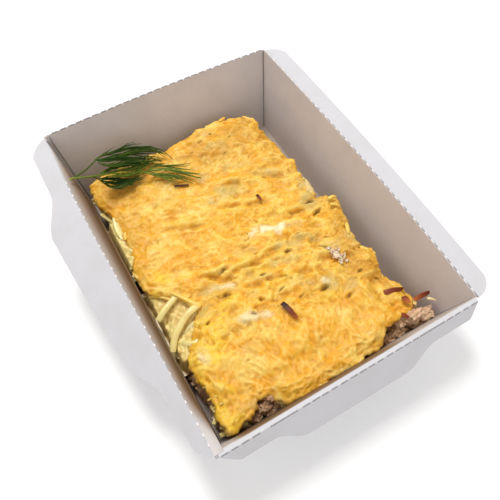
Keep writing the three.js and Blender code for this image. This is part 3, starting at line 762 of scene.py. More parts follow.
# The slab's outline, each as places along a side and what is there: the two long edges,
# and how deep the crust is bitten back along the front
outline = {
    "left": ([-80, -72, -60, -46, -42, -36.4, -30, -26, -21, -13.5, -6.5, -4, 10],
             [-56.2, -55.2, -54, -54.2, -52.5, -48, -42.3, -39.8, -39.4, -43.7, -52, -56.5, -57.2]),
    "right": ([-69.5, -65, -61, -54, -48, -39.5, -36, -31, -16.7, -4, -1, 1.7, 15, 26, 36, 74],
              [56, 52.4, 50.2, 46.9, 47.8, 50.1, 45.5, 46.4, 50.2, 53.1, 50, 44.4, 43.5, 46.1, 43.6, 43.2]),
    "notch": ([-52, -43.5, -38, -31.3, -28.2, -26.2, 18, 23.4, 27, 31.8, 40.4, 49.6, 54],
              [0, 5, 8.6, 8.2, 4.5, 0, 0, 0.8, 4, 7.5, 8.2, 9.4, 10.4]),
}


def ripples(seed, wavelength):
    state = seed
    waves = []
    for n in range(5):
        draws = []
        for m in range(3):
            state = (state * 1664525 + 1013904223) % 4294967296
            draws.append(state / 4294967296)
        turns = math.tau / (wavelength * (0.7 + 0.6 * draws[1]))
        waves.append((math.cos(draws[0] * math.tau) * turns, math.sin(draws[0] * math.tau) * turns,
                      draws[2] * math.tau))
    return lambda x, y: sum(np.sin(wx * x + wy * y + phase) for wx, wy, phase in waves) / 3


sideRipple = ripples(11, 17)
wideRipple = ripples(23, 42)
closeRipple = ripples(37, 14)


def crustHeight(x, y):
    depth, place, slant, width = slab["valley"]
    valley = bell(y, place + slant * x, width)
    return slab["crustTop"] + wideRipple(x, y) + 0.8 * closeRipple(x, y) - depth * valley


# How lively the surface is: calm at the back and the front, folded across the middle and at the right
def liveliness(x, y):
    limit = mix(-12, 8, ramp(x, -24, 4))
    band = ramp(y, -54, -40) * ramp(y, limit + 8, limit - 8) * (0.75 + 0.25 * ramp(x, -40, -10))
    right = 0.8 * ramp(x, 26, 44)
    left = 0.6 * ramp(x, -44, -54) * ramp(y, -34, -44)
    back = 0.55 * bell(x, 20, 22) * bell(y, 62, 12) + 0.5 * bell(x, 12, 20) * bell(y, 27, 8)
    return np.clip(0.3 + np.maximum(np.maximum(band, right), np.maximum(left, back)), 0, 1)


# How far the crust is bitten back along the front, on the left and towards the right corner
def frontNotch(x):
    return np.interp(x, *outline["notch"])


slabEdges = {
    "left": lambda y: np.interp(y, *outline["left"]),
    "right": lambda y: np.interp(y, *outline["right"]),
    "front": lambda x: slab["front"] - slab["frontOut"] + frontNotch(x),
    "back": lambda x: slab["back"] + 3.6 * bell(x, 24, 22) - 2.2 * ramp(x, 33, 44),
}


def flatPoints(x, y):
    return np.stack([x, y, np.zeros_like(x)], 1)


# The slab's border, front, right, back, left: places and directions outwards
def slabBorder(columns, rows, roughness):
    u = np.concatenate([np.linspace(-1, 1, columns, False), np.full(rows, 1.0),
                        np.linspace(1, -1, columns, False), np.full(rows, -1.0)])
    v = np.concatenate([np.full(columns, -1.0), np.linspace(-1, 1, rows, False),
                        np.full(columns, 1.0), np.linspace(1, -1, rows, False)])
    rounding = slab["corner"] * u ** 8 * v ** 8
    across = (u * (1 - rounding) + 1) / 2
    along = (v * (1 - rounding) + 1) / 2
    x = mix(slab["left"], slab["right"], across)
    y = mix(slab["front"], slab["back"], along)
    for n in range(3):
        x = mix(slabEdges["left"](y), slabEdges["right"](y), across)
        y = mix(slabEdges["front"](x), slabEdges["back"](x), along)
    smoothX = np.roll(x, -5) - np.roll(x, 5)
    smoothY = np.roll(y, -5) - np.roll(y, 5)
    size = np.hypot(smoothX, smoothY)
    outX, outY = smoothY / size, -smoothX / size
    flat = flatPoints(x, y)
    wobble = 0.5 * sideRipple(x, y)
    wobble = wobble + roughness * (0.8 * softNoise(flat, 6.5, 41) + 0.6 * softNoise(flat, 2.6, 42))
    return x + outX * wobble, y + outY * wobble, outX, outY


# The slab's front leans forwards as it rises
def leaned(x, y, z):
    return y - slab["lean"] * z * ramp(y, -52, -72)


# A layer of the slab: rings, each how far out and how high, closed below and above
def addLayer(body, border, rings, pushAt, shade):
    bx, by, outX, outY = border
    total = len(bx)
    flat = flatPoints(bx, by)
    points, faces = [], []
    a = np.arange(total)
    for n, (offset, z) in enumerate(rings):
        push = pushAt(n, offset, flat + (0, 0, z))
        x, y = bx + outX * push, by + outY * push
        points.append(np.stack([x, leaned(x, y, z), np.full(total, z)], 1))
        if n:
            faces += np.stack([a, np.roll(a, -1), np.roll(a, -1) + total, a + total], 1).tolist()
            a = a + total
    points.append(np.array([[*slab["middle"], rings[0][1]], [*slab["middle"], rings[-1][1]]]))
    low, high = len(rings) * total, len(rings) * total + 1
    first = np.arange(total)
    faces += [(q, p, low) for p, q in zip(first, np.roll(first, -1))]
    faces += [(p, q, high) for p, q in zip(a, np.roll(a, -1))]
    body.add(np.concatenate(points), faces, shade=shade)


# Steps along and across a direction
def turnedSteps(dx, dy, angle):
    c, s = math.cos(angle), math.sin(angle)
    return dx * c + dy * s, -dx * s + dy * c


def blurred(field, cells):
    kernel = np.exp(-0.5 * (np.arange(-3 * cells, 3 * cells + 1) / cells) ** 2)
    kernel /= kernel.sum()
    out = np.pad(field, len(kernel) // 2, mode="edge")
    for axis in (0, 1):
        out = np.apply_along_axis(lambda line: np.convolve(line, kernel, "valid"), axis, out)
    return out


# Many shreds laid over each other: the height of the pile, and the shade of the topmost
def layShreds(facts, seed, gridX, gridY):
    random = np.random.default_rng(seed)
    xs, ys = gridX[0], gridY[:, 0]
    main = math.radians(relief["fibreAngle"])
    pile = np.zeros(gridX.shape)
    shades = np.zeros(gridX.shape)
    for n in range(facts["count"]):
        cx, cy = random.uniform(xs[0], xs[-1]), random.uniform(ys[0], ys[-1])
        loose = float(ramp(cy, -28, -48))
        angle = main + math.radians(random.normal() * mix(facts["sway"], 2.6 * facts["sway"], loose))
        half = random.uniform(*facts["length"]) / 2 * mix(1.0, 0.75, loose)
        width = random.uniform(*facts["halfWidth"])
        bend = random.normal() * 0.03
        level = random.uniform(0, 0.6) * facts["height"][1]
        high = random.uniform(*facts["height"])
        shade = random.uniform(-1, 1)
        reach = half + 1.5 * width
        i0, i1 = np.searchsorted(ys, [cy - reach, cy + reach])
        j0, j1 = np.searchsorted(xs, [cx - reach, cx + reach])
        if i1 - i0 < 2 or j1 - j0 < 2:
            continue
        a, b = turnedSteps(gridX[i0:i1, j0:j1] - cx, gridY[i0:i1, j0:j1] - cy, angle)
        b = b - bend * a * a
        d = np.hypot(b, np.maximum(np.abs(a) - half, 0)) / width
        top = np.where(d < 1, level + high * np.sqrt(np.clip(1 - d * d, 0, 1)), -9.0)
        view = pile[i0:i1, j0:j1]
        higher = top > view
        shades[i0:i1, j0:j1][higher] = shade
        pile[i0:i1, j0:j1] = np.maximum(view, top)
    return pile, shades


# The crust's fine relief and its colour masks, worked out once over a square grid
def makeReliefMaps():
    xs = np.arange(*relief["across"], relief["step"])
    ys = np.arange(*relief["along"], relief["step"])
    gridX, gridY = np.meshgrid(xs, ys)
    main = math.radians(relief["fibreAngle"])
    along, across = turnedSteps(gridX, gridY, main)
    stretched = flatPoints(along.ravel() / 2.2, across.ravel())
    even = flatPoints(gridX.ravel(), gridY.ravel())

    def noise(points, *facts):
        return softNoise(points, *facts).reshape(gridX.shape)

    lively = liveliness(gridX, gridY)
    threads, threadShades = layShreds(relief["threads"], 8, gridX, gridY)
    clumps, clumpShades = layShreds(relief["clumps"], 9, gridX, gridY)
    threads, clumps = blurred(threads, 1), blurred(clumps, 2)
    melt = np.clip(0.5 + 0.5 * noise(even, 14, 61, 2) + 0.2 * ramp(gridY, -34, -24) - 0.1, 0, 1)
    height = mix(threads, blurred(threads, 3), 0.35 * melt) - threads.mean()
    height += 0.3 * noise(even, 1.5, 59, 2) * mix(0.7, 1.3, lively)
    height += mix(0.2, 0.75, lively) * (clumps - clumps.mean())
    lumps = noise(stretched, 5.0, 62, 2)
    crease = np.abs(noise(stretched, 6.0, 64, 2))
    broken = ramp(noise(even, 5, 66), -0.1, 0.3)
    height += mix(0.3, 0.85, lively) * lumps + 0.6 * noise(even, 15, 63)
    creases = np.exp(-((crease / 0.06) ** 2)) * broken * lively
    height -= 0.9 * creases
    wanderX, wanderY = 0.7 * noise(even, 2.4, 67, 2), 0.5 * noise(even, 2.4, 68, 2)
    # painted shade in the creases, the holes and the folds' trenches
    pit = 0.35 * creases
    for px, py, half, depth in relief["pits"]:
        way = main + 0.5 * math.sin(3.1 * px + 1.7 * py)
        a, b = turnedSteps(gridX - px + wanderX, gridY - py + wanderY, way)
        a, b = a / (half * 1.3), b / (half * 0.42)
        hole = np.exp(-((a * a + b * b) ** 1.2))
        height -= 0.85 * depth * hole
        height += 0.45 * depth * np.exp(-(a / 1.5) ** 2 - ((b - 2.1) / 1.1) ** 2)
        pit = np.maximum(pit, hole * min(depth / 1.4, 1))
    for fx, fy, tx, ty, half, depth in relief["folds"]:
        length = math.hypot(tx - fx, ty - fy)
        ux, uy = (tx - fx) / length, (ty - fy) / length
        a = (gridX - fx) * ux + (gridY - fy) * uy
        b = -(gridX - fx) * uy + (gridY - fy) * ux + 1.5 * lumps
        beyond = np.maximum(np.maximum(-a, a - length), 0)
        trench = np.exp(-((b / half) ** 2) - (beyond / 3) ** 2)
        lip = np.exp(-(((b - 2.0 * half) / (1.2 * half)) ** 2) - (beyond / 3) ** 2)
        height += 0.7 * depth * lip - depth * trench
        pit = np.maximum(pit, 0.35 * trench * broken)
    for px, py, halfAlong, halfAcross, high in relief["mounds"]:
        a, b = turnedSteps(gridX - px, gridY - py, main + 0.5)
        height += high * np.exp(-(((a / halfAlong) ** 2 + (b / halfAcross) ** 2) ** 1.3))
    # the last two maps paint highlight on the relief's rises and shade in its hollows, small and large
    maps = {"height": height, "pit": pit, "tint": threadShades, "clump": blurred(clumpShades, 1),
            "ridge": height - blurred(height, 5), "swell": height - blurred(height, 14)}
    wander = noise(even, 7, 65, 3)
    fleck = noise(stretched, 1.9, 69, 2)
    for name, places in patches.items():
        field = np.zeros(gridX.shape)
        for px, py, halfAlong, halfAcross, strength in places:
            a, b = turnedSteps(gridX - px, gridY - py, main)
            far = np.hypot(a / halfAlong, b / halfAcross) + 0.75 * wander + 0.3 * fleck
            field = np.maximum(field, strength * ramp(far, 1.45, 0.35))
        maps[name] = field if name == "cream" else np.clip(field * (0.85 + 0.7 * fleck), 0, 1)
    print("crust relief worked out:", gridX.shape)
    return xs, ys, maps


def sampleMap(reliefMaps, name, x, y):
    xs, ys, maps = reliefMaps
    field = maps[name]
    fx = np.clip((x - xs[0]) / relief["step"], 0, len(xs) - 1.001)
    fy = np.clip((y - ys[0]) / relief["step"], 0, len(ys) - 1.001)
    j, i = fx.astype(int), fy.astype(int)
    tx, ty = fx - j, fy - i
    return mix(mix(field[i, j], field[i, j + 1], tx), mix(field[i + 1, j], field[i + 1, j + 1], tx), ty)


# How high the crust's hem hangs
def hemHeight(x, y):
    frontHem, leftHem, rightHem = slab["hems"]
    for depth, place, width in slab["hemDips"]:
        frontHem = frontHem - depth * bell(x, place, width)
    sideHem = np.where(x < 0, leftHem, rightHem)
    return mix(sideHem, frontHem, ramp(y, -60, -66)) + 0.5 * sideRipple(x * 2, y * 2)


# Where the crust ends short of the slab's left side, and the potato shows
def crustInset(x, y):
    depth, opens, closes = slab["bay"]
    return np.where(x < -30, depth * ramp(y, *opens) * (1 - ramp(y, *closes)), 0.0)


def edgeDistance(x, y, ringX, ringY):
    tree = KDTree(len(ringX))
    for n, (px, py) in enumerate(zip(ringX, ringY)):
        tree.insert((px, py, 0), n)
    tree.balance()
    return np.array([tree.find((px, py, 0))[2] for px, py in zip(x, y)])


# A grid of places blended from the ring's four sides
def blendedGrid(ring, columns, rows):
    front = ring[:columns + 1]
    right = ring[columns:columns + rows + 1]
    back = ring[columns + rows:2 * columns + rows + 1][::-1]
    left = np.concatenate([ring[2 * columns + rows:], ring[:1]])[::-1]
    u = np.linspace(0, 1, columns + 1)[None, :, None]
    v = np.linspace(0, 1, rows + 1)[:, None, None]
    corners = mix(mix(front[0], front[-1], u), mix(back[0], back[-1], u), v)
    return mix(front[None], back[None], v) + mix(left[:, None], right[:, None], u) - corners


def addCrust(reliefMaps):
    columns, rows = slab["columns"], slab["rows"]
    bx, by, outX, outY = slabBorder(columns, rows, 1.0)
    inset = crustInset(bx, by)
    bx, by = bx - outX * inset, by - outY * inset
    hem = hemHeight(bx, by) + 1.6 * softNoise(flatPoints(bx, by), 5, 71, 2)
    hem = np.where(inset > 0.5, np.maximum(hem, 21.8), hem)
    # the top
    ringX, ringY = bx + slab["rimOut"] * outX, by + slab["rimOut"] * outY
    top = blendedGrid(np.stack([ringX, ringY], 1), columns, rows)
    tx, ty = top[..., 0].ravel(), top[..., 1].ravel()
    droop = 1.1 * np.exp(-((edgeDistance(tx, ty, ringX, ringY) / 2.2) ** 1.5))
    tz = crustHeight(tx, ty) + sampleMap(reliefMaps, "height", tx, ty) - droop
    count = (columns + 1) * (rows + 1)
    index = np.arange(count).reshape(rows + 1, columns + 1)
    faces = np.stack([index[:-1, :-1], index[:-1, 1:], index[1:, 1:], index[1:, :-1]], -1)
    faces = faces.reshape(-1, 4).tolist()
    border = np.concatenate([index[0, :-1], index[:-1, -1], index[-1, :0:-1], index[:0:-1, 0]])
    # the sides: rings that roll over the edge, hang down and turn under
    edgeTop = tz[border]
    rings = [(tx, ty, tz, tx, ty)]
    longest = slab["profile"][-1][1]
    turn = slab["profileTurn"]
    for offset, down in slab["profile"]:
        share = down / longest
        hang = (edgeTop - turn - hem) * max(down - turn, 0) / (longest - turn)
        z = edgeTop - np.minimum(down, turn) - hang
        x, y = bx + outX * offset, by + outY * offset
        here = np.stack([x, y, z], 1)
        fade = ramp(share, 0.0, 0.3) * (1 - 0.6 * ramp(share, 0.85, 1.0))
        push = 1.1 * softNoise(here * (1, 1, 0.6), 4.0, 72, 2)
        push = fade * (push + 0.7 * softNoise(here * (1, 1, 0.45), 1.8, 73))
        x, y = x + outX * push, y + outY * push
        rings.append((x, y, z + 0.7 * fade * softNoise(here, 2.4, 74), x, y))
    for offset, level in slab["underside"]:
        z = np.minimum(hem + level, slab["crustCeiling"])
        rings.append((bx + outX * offset, by + outY * offset, z, bx, by))
    previous = border
    start = count
    for x, y, z, placeX, placeY in rings[1:]:
        current = np.arange(start, start + len(bx))
        faces += np.stack([previous, current, np.roll(current, -1), np.roll(previous, -1)], 1).tolist()
        previous = current
        start += len(bx)
    faces += [(a, start, b) for a, b in zip(previous, np.roll(previous, -1))]
    points = [np.stack([x, leaned(x, y, z), z], 1) for x, y, z, placeX, placeY in rings]
    points = keptInTray(np.concatenate(points + [np.array([[*slab["middle"], slab["crustCeiling"]]])]))
    places = [np.stack([placeX, placeY], 1) for x, y, z, placeX, placeY in rings]
    places = np.concatenate(places + [np.array([slab["middle"]])])
    masks = {name: sampleMap(reliefMaps, name, places[:, 0], places[:, 1]) for name in reliefMaps[2]
             if name != "height"}
    side = np.zeros(len(points))
    side[count:] = 1
    masks["side"] = side * ramp(points[:, 2], 25.5, 22)
    masks["pit"] = masks["pit"] * (1 - 0.8 * side)
    thing = addMesh("cheese_crust_top", points, faces, cheeseMaterial(), masks, sharpAngle=180)
    standFor(thing, "cheese_crust")


def cheeseMaterial():
    finish = Finish("melted cheese", Roughness=0.46, Specular_IOR_Level=0.42, Subsurface_Weight=0.25,
                    Subsurface_Scale=0.0014, Subsurface_Radius=(1.0, 0.7, 0.3))
    finish.paint((240, 185, 62), [
        (120, 0.44, 0.56, 0.9, (242, 172, 34)),
        (90, 0.5, 0.6, 0.85, (251, 214, 112)),
        (230, 0.52, 0.64, 0.6, (226, 160, 48)),
        ("clump", 0.0, 1.0, 0.45, (252, 215, 102)),
        ("clump", 0.0, -1.0, 0.4, (244, 181, 34)),
        ("tint", 0.0, 1.0, 0.35, (254, 221, 120)),
        ("tint", 0.0, -1.0, 0.3, (242, 179, 41)),
        ("lemon", 0, 1, 0.85, (254, 212, 62)),
        ("brown", 0, 1, 0.85, (240, 167, 29)),
        # painted highlight on the relief's rises, and painted shade in its hollows
        ("swell", 0.2, 1.6, 0.45, (252, 209, 87)),
        ("swell", -0.1, -1.3, 0.65, (206, 151, 45)),
        ("ridge", 0.1, 0.8, 0.5, (252, 217, 116)),
        ("ridge", -0.1, -0.8, 0.65, (212, 151, 34)),
        # painted shade over the crust's back and right side
        ("ochre", 0, 1, 0.75, (202, 147, 45)),
        ("pale", 0, 1, 0.85, (212, 188, 112)),
        ("cream", 0, 1, 0.95, (248, 235, 194)),
        ("side", 0, 1, 0.5, (216, 181, 92)),
        # painted shade in holes and creases
        ("pit", 0.1, 1, 0.95, (112, 77, 13)),
    ])
    finish.grain(Scale=1500.0, Coarse_Scale=420.0, Strength=0.3, Coarse_Strength=0.4, Distance=0.0003)
    return finish.material


# Tubes along a path: half widths and half heights are functions of the share of the way,
# and a low squareness makes the section boxy
def tube(path, halfWidth, halfHeight, sides, twist=0.0, squareness=1.0):
    path = np.asarray(path, float)
    last = len(path) - 1
    ahead = path[np.minimum(np.arange(last + 1) + 1, last)]
    behind = path[np.maximum(np.arange(last + 1) - 1, 0)]
    along = (ahead - behind) / np.linalg.norm(ahead - behind, axis=1, keepdims=True)
    across = np.cross(along, (0.0, 0.0, 1.0)) + (1e-6, 0, 0)
    across /= np.linalg.norm(across, axis=1, keepdims=True)
    rise = np.cross(across, along)
    rounded = lambda value: math.copysign(abs(value) ** squareness, value)
    points = []
    for i in range(last + 1):
        t = i / last
        for s in range(sides):
            angle = (s + 0.5) / sides * math.tau
            w, h = rounded(math.cos(angle)) * halfWidth(t), rounded(math.sin(angle)) * halfHeight(t)
            c, d = math.cos(twist * t), math.sin(twist * t)
            points.append(path[i] + across[i] * (w * c - h * d) + rise[i] * (w * d + h * c))
    faces = []
    for i in range(last):
        for s in range(sides):
            a, b = i * sides + s, i * sides + (s + 1) % sides
            faces.append((a, a + sides, b + sides, b))
    faces.append(tuple(range(sides)))
    faces.append(tuple(last * sides + s for s in reversed(range(sides))))
    return points, faces


def smoothPath(points, steps):
    points = np.asarray(points, float)
    padded = np.concatenate([[2 * points[0] - points[1]], points, [2 * points[-1] - points[-2]]])
    out = []
    spans = len(points) - 1
    for k in range(steps + 1):
        t = min(k / steps * spans, spans - 1e-6)
        i, f = int(t), t - int(t)
        a, b, c, d = padded[i:i + 4]
        out.append(0.5 * (2 * b + (c - a) * f + (2 * a - 5 * b + 4 * c - d) * f * f
                          + (3 * b - a - 3 * c + d) * f ** 3))
    return np.array(out)


# A lumpy ball, its shape drawn from a seed
def lumpShape(level, seed, roughness, size):
    ball = bmesh.new()
    bmesh.ops.create_icosphere(ball, subdivisions=level, radius=1.0)
    points = np.array([v.co[:] for v in ball.verts])
    faces = [tuple(v.index for v in f.verts) for f in ball.faces]
    ball.free()
    swell = 1 + roughness * softNoise(points + 5 * seed, size, 90 + seed, 2)
    return points * swell[:, None], faces


def turned(points, random):
    axis = random.normal(size=3)
    turn = np.array(Matrix.Rotation(random.uniform(0, math.tau), 3, Vector(axis).normalized()))
    return points @ turn.T


# Moves each point a little, by how far, the noise's size and its seed
def roughened(points, far, size, seed):
    points = np.array(points)
    return points + far * np.stack([softNoise(points, size, seed + k) for k in range(3)], 1)


# Grated potato

potato = {
    "columns": 120, "rows": 170,
    # the layer's rings: how far out, and how high
    "rings": [(0, 12.35), (0.1, 13.2), (0, 14.2), (-0.3, 15.2), (-0.2, 16.2), (0, 17.2), (0, 18.2),
              (-0.2, 19.2), (-0.7, 20.2), (-1.6, 21.2), (-2.6, 21.5)],
    # the strands along the sides, and the lowest and the highest place where they show
    "strands": 330, "strandWidth": 1.35, "strandHeight": 1.0, "strandLength": (5, 15), "shown": (12.6, 21.6),
    # the strands that show best: half width, half height, how dark, points along
    "loose": [
        (1.7, 1.3, 0.0, [(-38.5, -22.4, 24.4), (-42.5, -23.6, 25.8), (-46.6, -24.8, 25.6),
                         (-51.4, -27.4, 24.6), (-56.6, -31.2, 23.2), (-60.4, -36.2, 21.0)]),
        (1.2, 0.9, 0.15, [(-42.7, -28.6, 22.4), (-48.5, -29.8, 21.7), (-53.4, -32.6, 19.8),
                          (-56.2, -36.4, 17.6)]),
        (1.6, 1.2, 0.05, [(-44.5, -12.0, 24.6), (-50.5, -14.6, 24.4), (-56.0, -17.2, 23.8),
                          (-59.8, -19.4, 22.8)]),
        (1.4, 0.6, 0.1, [(-58.6, -35.2, 16.2), (-58.0, -38.8, 17.0), (-54.8, -39.6, 19),
                         (-51.5, -38.6, 20.8)]),
        (1.9, 1.1, 0.0, [(-50.4, 49.6, 24.8), (-54.6, 43, 24.6), (-56, 36.3, 24), (-55.4, 30.6, 23.6)]),
        (1.4, 1.1, 0.0, [(-47.5, -38.4, 23.6), (-50.8, -38.2, 23.2), (-54.4, -34.9, 21)]),
        (1.2, 0.9, 0.0, [(-51.5, -44.6, 22.4), (-54.8, -43.9, 21.4), (-57.4, -42.6, 19.8)]),
        (1.3, 1.0, 0.1, [(45.6, 20.5, 22.0), (47.3, 15, 22.6), (47.0, 8.5, 22.2)]),
        (1.2, 0.9, 0.0, [(43.6, 17.5, 23.8), (45.2, 12, 24.0), (45.4, 5.6, 23.4)]),
        (1.2, 1.0, 0.2, [(44, -18, 17), (50, -23, 17.4), (50.8, -30, 16.4)]),
        (1.2, 1.0, 0.2, [(44, -46, 17), (50, -49, 17.2), (51, -55, 16)]),
        (1.2, 1.0, 0.2, [(10, 68, 16), (4, 74.4, 16.2), (-6, 75, 15)]),
        (1.5, 0.9, 0.0, [(-30, -79.8, 20.5), (-26, -83.0, 20.8), (-20, -83.8, 20.4), (-13, -84, 19.6)]),
        (1.3, 0.9, 0.1, [(-29, -82.4, 18), (-22, -84, 18.2), (-15, -84.1, 18)]),
    ],
    # piles of half melted strands on the left: in the bay, and a pale one behind it; each painted darker as
    # shade from a place towards the wall
    "pileStep": 0.4, "pileFloor": 12.4,
    "piles": [
        {"x": (-60.4, -37), "y": (-47, 3), "top": 23.2, "shade": 0.35, "edgeShadeFrom": -56, "shreds":
            {"count": 230, "length": (6, 15), "halfWidth": (0.7, 1.4), "height": (1.0, 2.2), "sway": 70}},
        {"x": (-61.0, -49), "y": (11, 47), "top": 23.6, "shade": 0.0, "edgeShadeFrom": -58, "shreds":
            {"count": 60, "length": (6, 14), "halfWidth": (1.0, 1.9), "height": (1.0, 2.0), "sway": 40}},
    ],
}


def addStrand(body, path, wide, high, shade, sides, twist):
    points, faces = tube(path, lambda t: wide * (1 - 0.12 * abs(2 * t - 1) ** 6),
                         lambda t: high * (1 - 0.15 * abs(2 * t - 1) ** 6), sides, twist, squareness=0.55)
    body.add(points, faces, shade=shade)


def addPotato():
    bx, by, outX, outY = slabBorder(potato["columns"], potato["rows"], 0.8)
    body = Gathered()

    def pushAt(n, offset, here):
        return offset + 0.8 * softNoise(here * (1, 1, 1.8), 3.6, 81, 2) - 0.2

    addLayer(body, (bx, by, outX, outY), potato["rings"], pushAt, 0.35)
    random = np.random.default_rng(19)
    # grated strands that lie along the sides
    for n in range(potato["strands"]):
        k = random.integers(len(bx))
        out = np.array([outX[k], outY[k], 0])
        length = random.uniform(*potato["strandLength"])
        tangent = np.array([-outY[k], outX[k], 0]) * random.choice((-1, 1))
        heading = tangent + out * random.normal() * 0.28
        heading[2] = random.normal() * 0.22
        heading /= np.linalg.norm(heading)
        z = random.uniform(13.2, 20.6)
        depth = random.uniform(-1.0, 0.35)
        middle = np.array([bx[k] + outX[k] * depth, by[k] + outY[k] * depth, z])
        sag = abs(random.normal()) * 0.06
        path = []
        for t in np.linspace(-0.5, 0.5, 6):
            p = middle + heading * length * t - (out + (0, 0, 0.1)) * sag * 2 * t * t * length
            p[2] = np.clip(p[2], *potato["shown"])
            path.append((p[0], float(leaned(*p)), p[2]))
        wide = potato["strandWidth"] * random.uniform(0.6, 1.0)
        high = potato["strandHeight"] * random.uniform(0.7, 1.0)
        addStrand(body, path, wide, high, random.uniform(0.0, 0.8), 6, random.normal() * 0.5)
    for wide, high, shade, path in potato["loose"]:
        addStrand(body, smoothPath(path, 16), wide, high, shade, 8, 0.4)
    for n, pile in enumerate(potato["piles"]):
        addPile(body, pile, 33 + n)
    body.points = [keptInTray(np.concatenate(body.points))]
    thing = body.build("grated_potato", potatoMaterial(), sharpAngle=60)
    standFor(thing, "potato_layer")


# A pile of shreds that leans on the slab's left side: it sinks outwards and falls off at its ends
def addPile(body, pile, seed):
    floor = potato["pileFloor"]
    xs, ys = (np.arange(*pile[axis], potato["pileStep"]) for axis in "xy")
    gridX, gridY = np.meshgrid(xs, ys)
    heights, shades = layShreds(pile["shreds"], seed, gridX, gridY)
    heights = blurred(heights, 1)
    flat = flatPoints(gridX.ravel(), gridY.ravel())
    rough = softNoise(flat, 3.2, 34, 3).reshape(gridX.shape)
    reach = np.maximum(slabEdges["left"](gridY) - gridX, 0)
    fromEnds = np.minimum(gridY - ys[0], ys[-1] - gridY)
    z = pile["top"] - 0.16 * reach - 0.004 * reach ** 2 + heights - heights.mean() + 0.5 * rough
    z -= 9 * ramp(gridX, xs[0] + 2.6, xs[0]) + 8 * ramp(fromEnds, 4, 0)
    z = np.clip(z, floor + 0.6, 25)
    x = gridX.ravel() + np.maximum(0.5 * softNoise(flat, 4, 35, 2), 0)
    y = gridY.ravel()
    points = [np.stack([x, y, level], 1) for level in (z.ravel(), np.full(gridX.size, floor))]
    # painted shade: darker in the pile's hollows and towards the tray wall
    recessShade = ramp(blurred(z, 4) - z, 0.0, 1.0).ravel()
    brown = ramp(x, pile["edgeShadeFrom"], pile["edgeShadeFrom"] - 5.5)
    shade = pile["shade"] + 0.3 * shades.ravel() + 0.9 * recessShade + 0.7 * brown
    body.add(np.concatenate(points), slabFaces(len(ys), len(xs)), shade=np.tile(shade, 2))


def potatoMaterial():
    finish = Finish("baked grated potato", Roughness=0.34, Subsurface_Weight=0.35, Subsurface_Scale=0.002,
                    Subsurface_Radius=(1.0, 0.8, 0.4))
    finish.paint((246, 228, 152), [
        # the shade mask holds each strand's own tone, and painted shade in hollows and by the wall
        ("shade", 0.05, 0.7, 0.85, (234, 200, 122)),
        ("shade", 0.7, 1.3, 0.85, (178, 134, 72)),
        (260, 0.42, 0.7, 0.5, (240, 222, 140)),
        (90, 0.5, 0.75, 0.5, (222, 182, 96)),
    ])
    finish.grain(Scale=900.0, Coarse_Scale=300.0, Strength=0.2, Coarse_Strength=0.3, Distance=0.0003)
    return finish.material


# Minced meat

mince = {
    "columns": 110, "rows": 150,
    # the layer's rings: how far out, and how high
    "rings": [(-0.9, 0.95), (-0.5, 1.6), (-0.3, 2.8), (-0.6, 4.0), (-1.0, 5.2), (-1.2, 6.4), (-1.0, 7.6),
              (-0.8, 8.8), (-1.0, 10), (-1.5, 11.2), (-2.4, 12.0)],
    # the lumps along the sides, how large and how high
    "sideLumps": 150, "sideSize": (0.8, 1.7), "sideHeight": (2.4, 11.2),
    # how far right and forwards the heaps may reach at the floor, and how that changes per mm of height
    "heapLimits": ((60.2, 0.09), (-79.6, -0.215)),
    # large crumbly chunks: place, half sizes, and how dark, the lower ones and those at the front left
    # painted darker as shade
    "chunks": [
        ((54.6, -80.6, 21.6), (4.6, 3.4, 3.8), -0.1), ((49.0, -78.8, 22.0), (5.0, 3.6, 3.6), 0.15),
        ((43.8, -77.6, 19.4), (4.4, 3.2, 3.4), 0.3), ((52.0, -83.4, 15.4), (4.4, 2.8, 3.2), 0.4),
        ((40.4, -80.0, 14.6), (4.2, 3.0, 3.4), 0.5), ((35.0, -80.6, 12.6), (4.0, 3.0, 3.0), 0.7),
        ((-31.2, -77.2, 20.0), (3.8, 3.0, 3.0), 0.95), ((-35.8, -79.2, 17.6), (3.8, 2.8, 3.2), 1.05),
        ((-40.6, -80.4, 15.6), (3.8, 2.8, 3.0), 1.1), ((-33.4, -82.0, 14.2), (3.6, 2.4, 3.0), 1.0),
        ((-29.6, -80.6, 16.6), (2.8, 2.6, 2.8), 0.9), ((-45.6, -82.0, 11.4), (3.6, 2.4, 2.8), 0.6),
    ],
    # heaps that the layers above leave bare: middle, half sizes, height of the top, its fall towards
    # the front, how many lumps and how large
    "heaps": [
        ((-38, -78.6), (12, 4.2), 18.6, 0.7, 90, 1.5),
        ((-31.5, -76.2), (5.5, 3.2), 22.4, 0.5, 34, 1.5),
        ((34, -79.0), (14, 4.6), 17.5, 0.7, 90, 1.6),
        ((48.5, -77.0), (9.5, 5.4), 21.6, 0.35, 110, 1.7),
        ((55.0, -72), (3.2, 8), 18.5, 0.1, 30, 1.6),
        ((4, -81.2), (16, 2.2), 13.0, 0.5, 30, 1.4),
    ],
}


# A chunk of mince: a ball with coarse lumps, clefts and fine crumbs, and painted shade in its clefts
def crumblyShape(seed):
    points, faces = lumpShape(4, 60 + seed, 0.4, 0.9)
    clefts = np.abs(softNoise(points + 3 * seed, 0.5, 130 + seed, 2))
    swell = 1 + 0.16 * softNoise(points, 0.34, 120 + seed, 2) + 0.1 * softNoise(points, 0.15, 140 + seed)
    swell -= 0.24 * np.exp(-(clefts / 0.12) ** 2)
    recessShade = ramp(swell, 0.95, 0.7)
    return points * swell[:, None], faces, recessShade


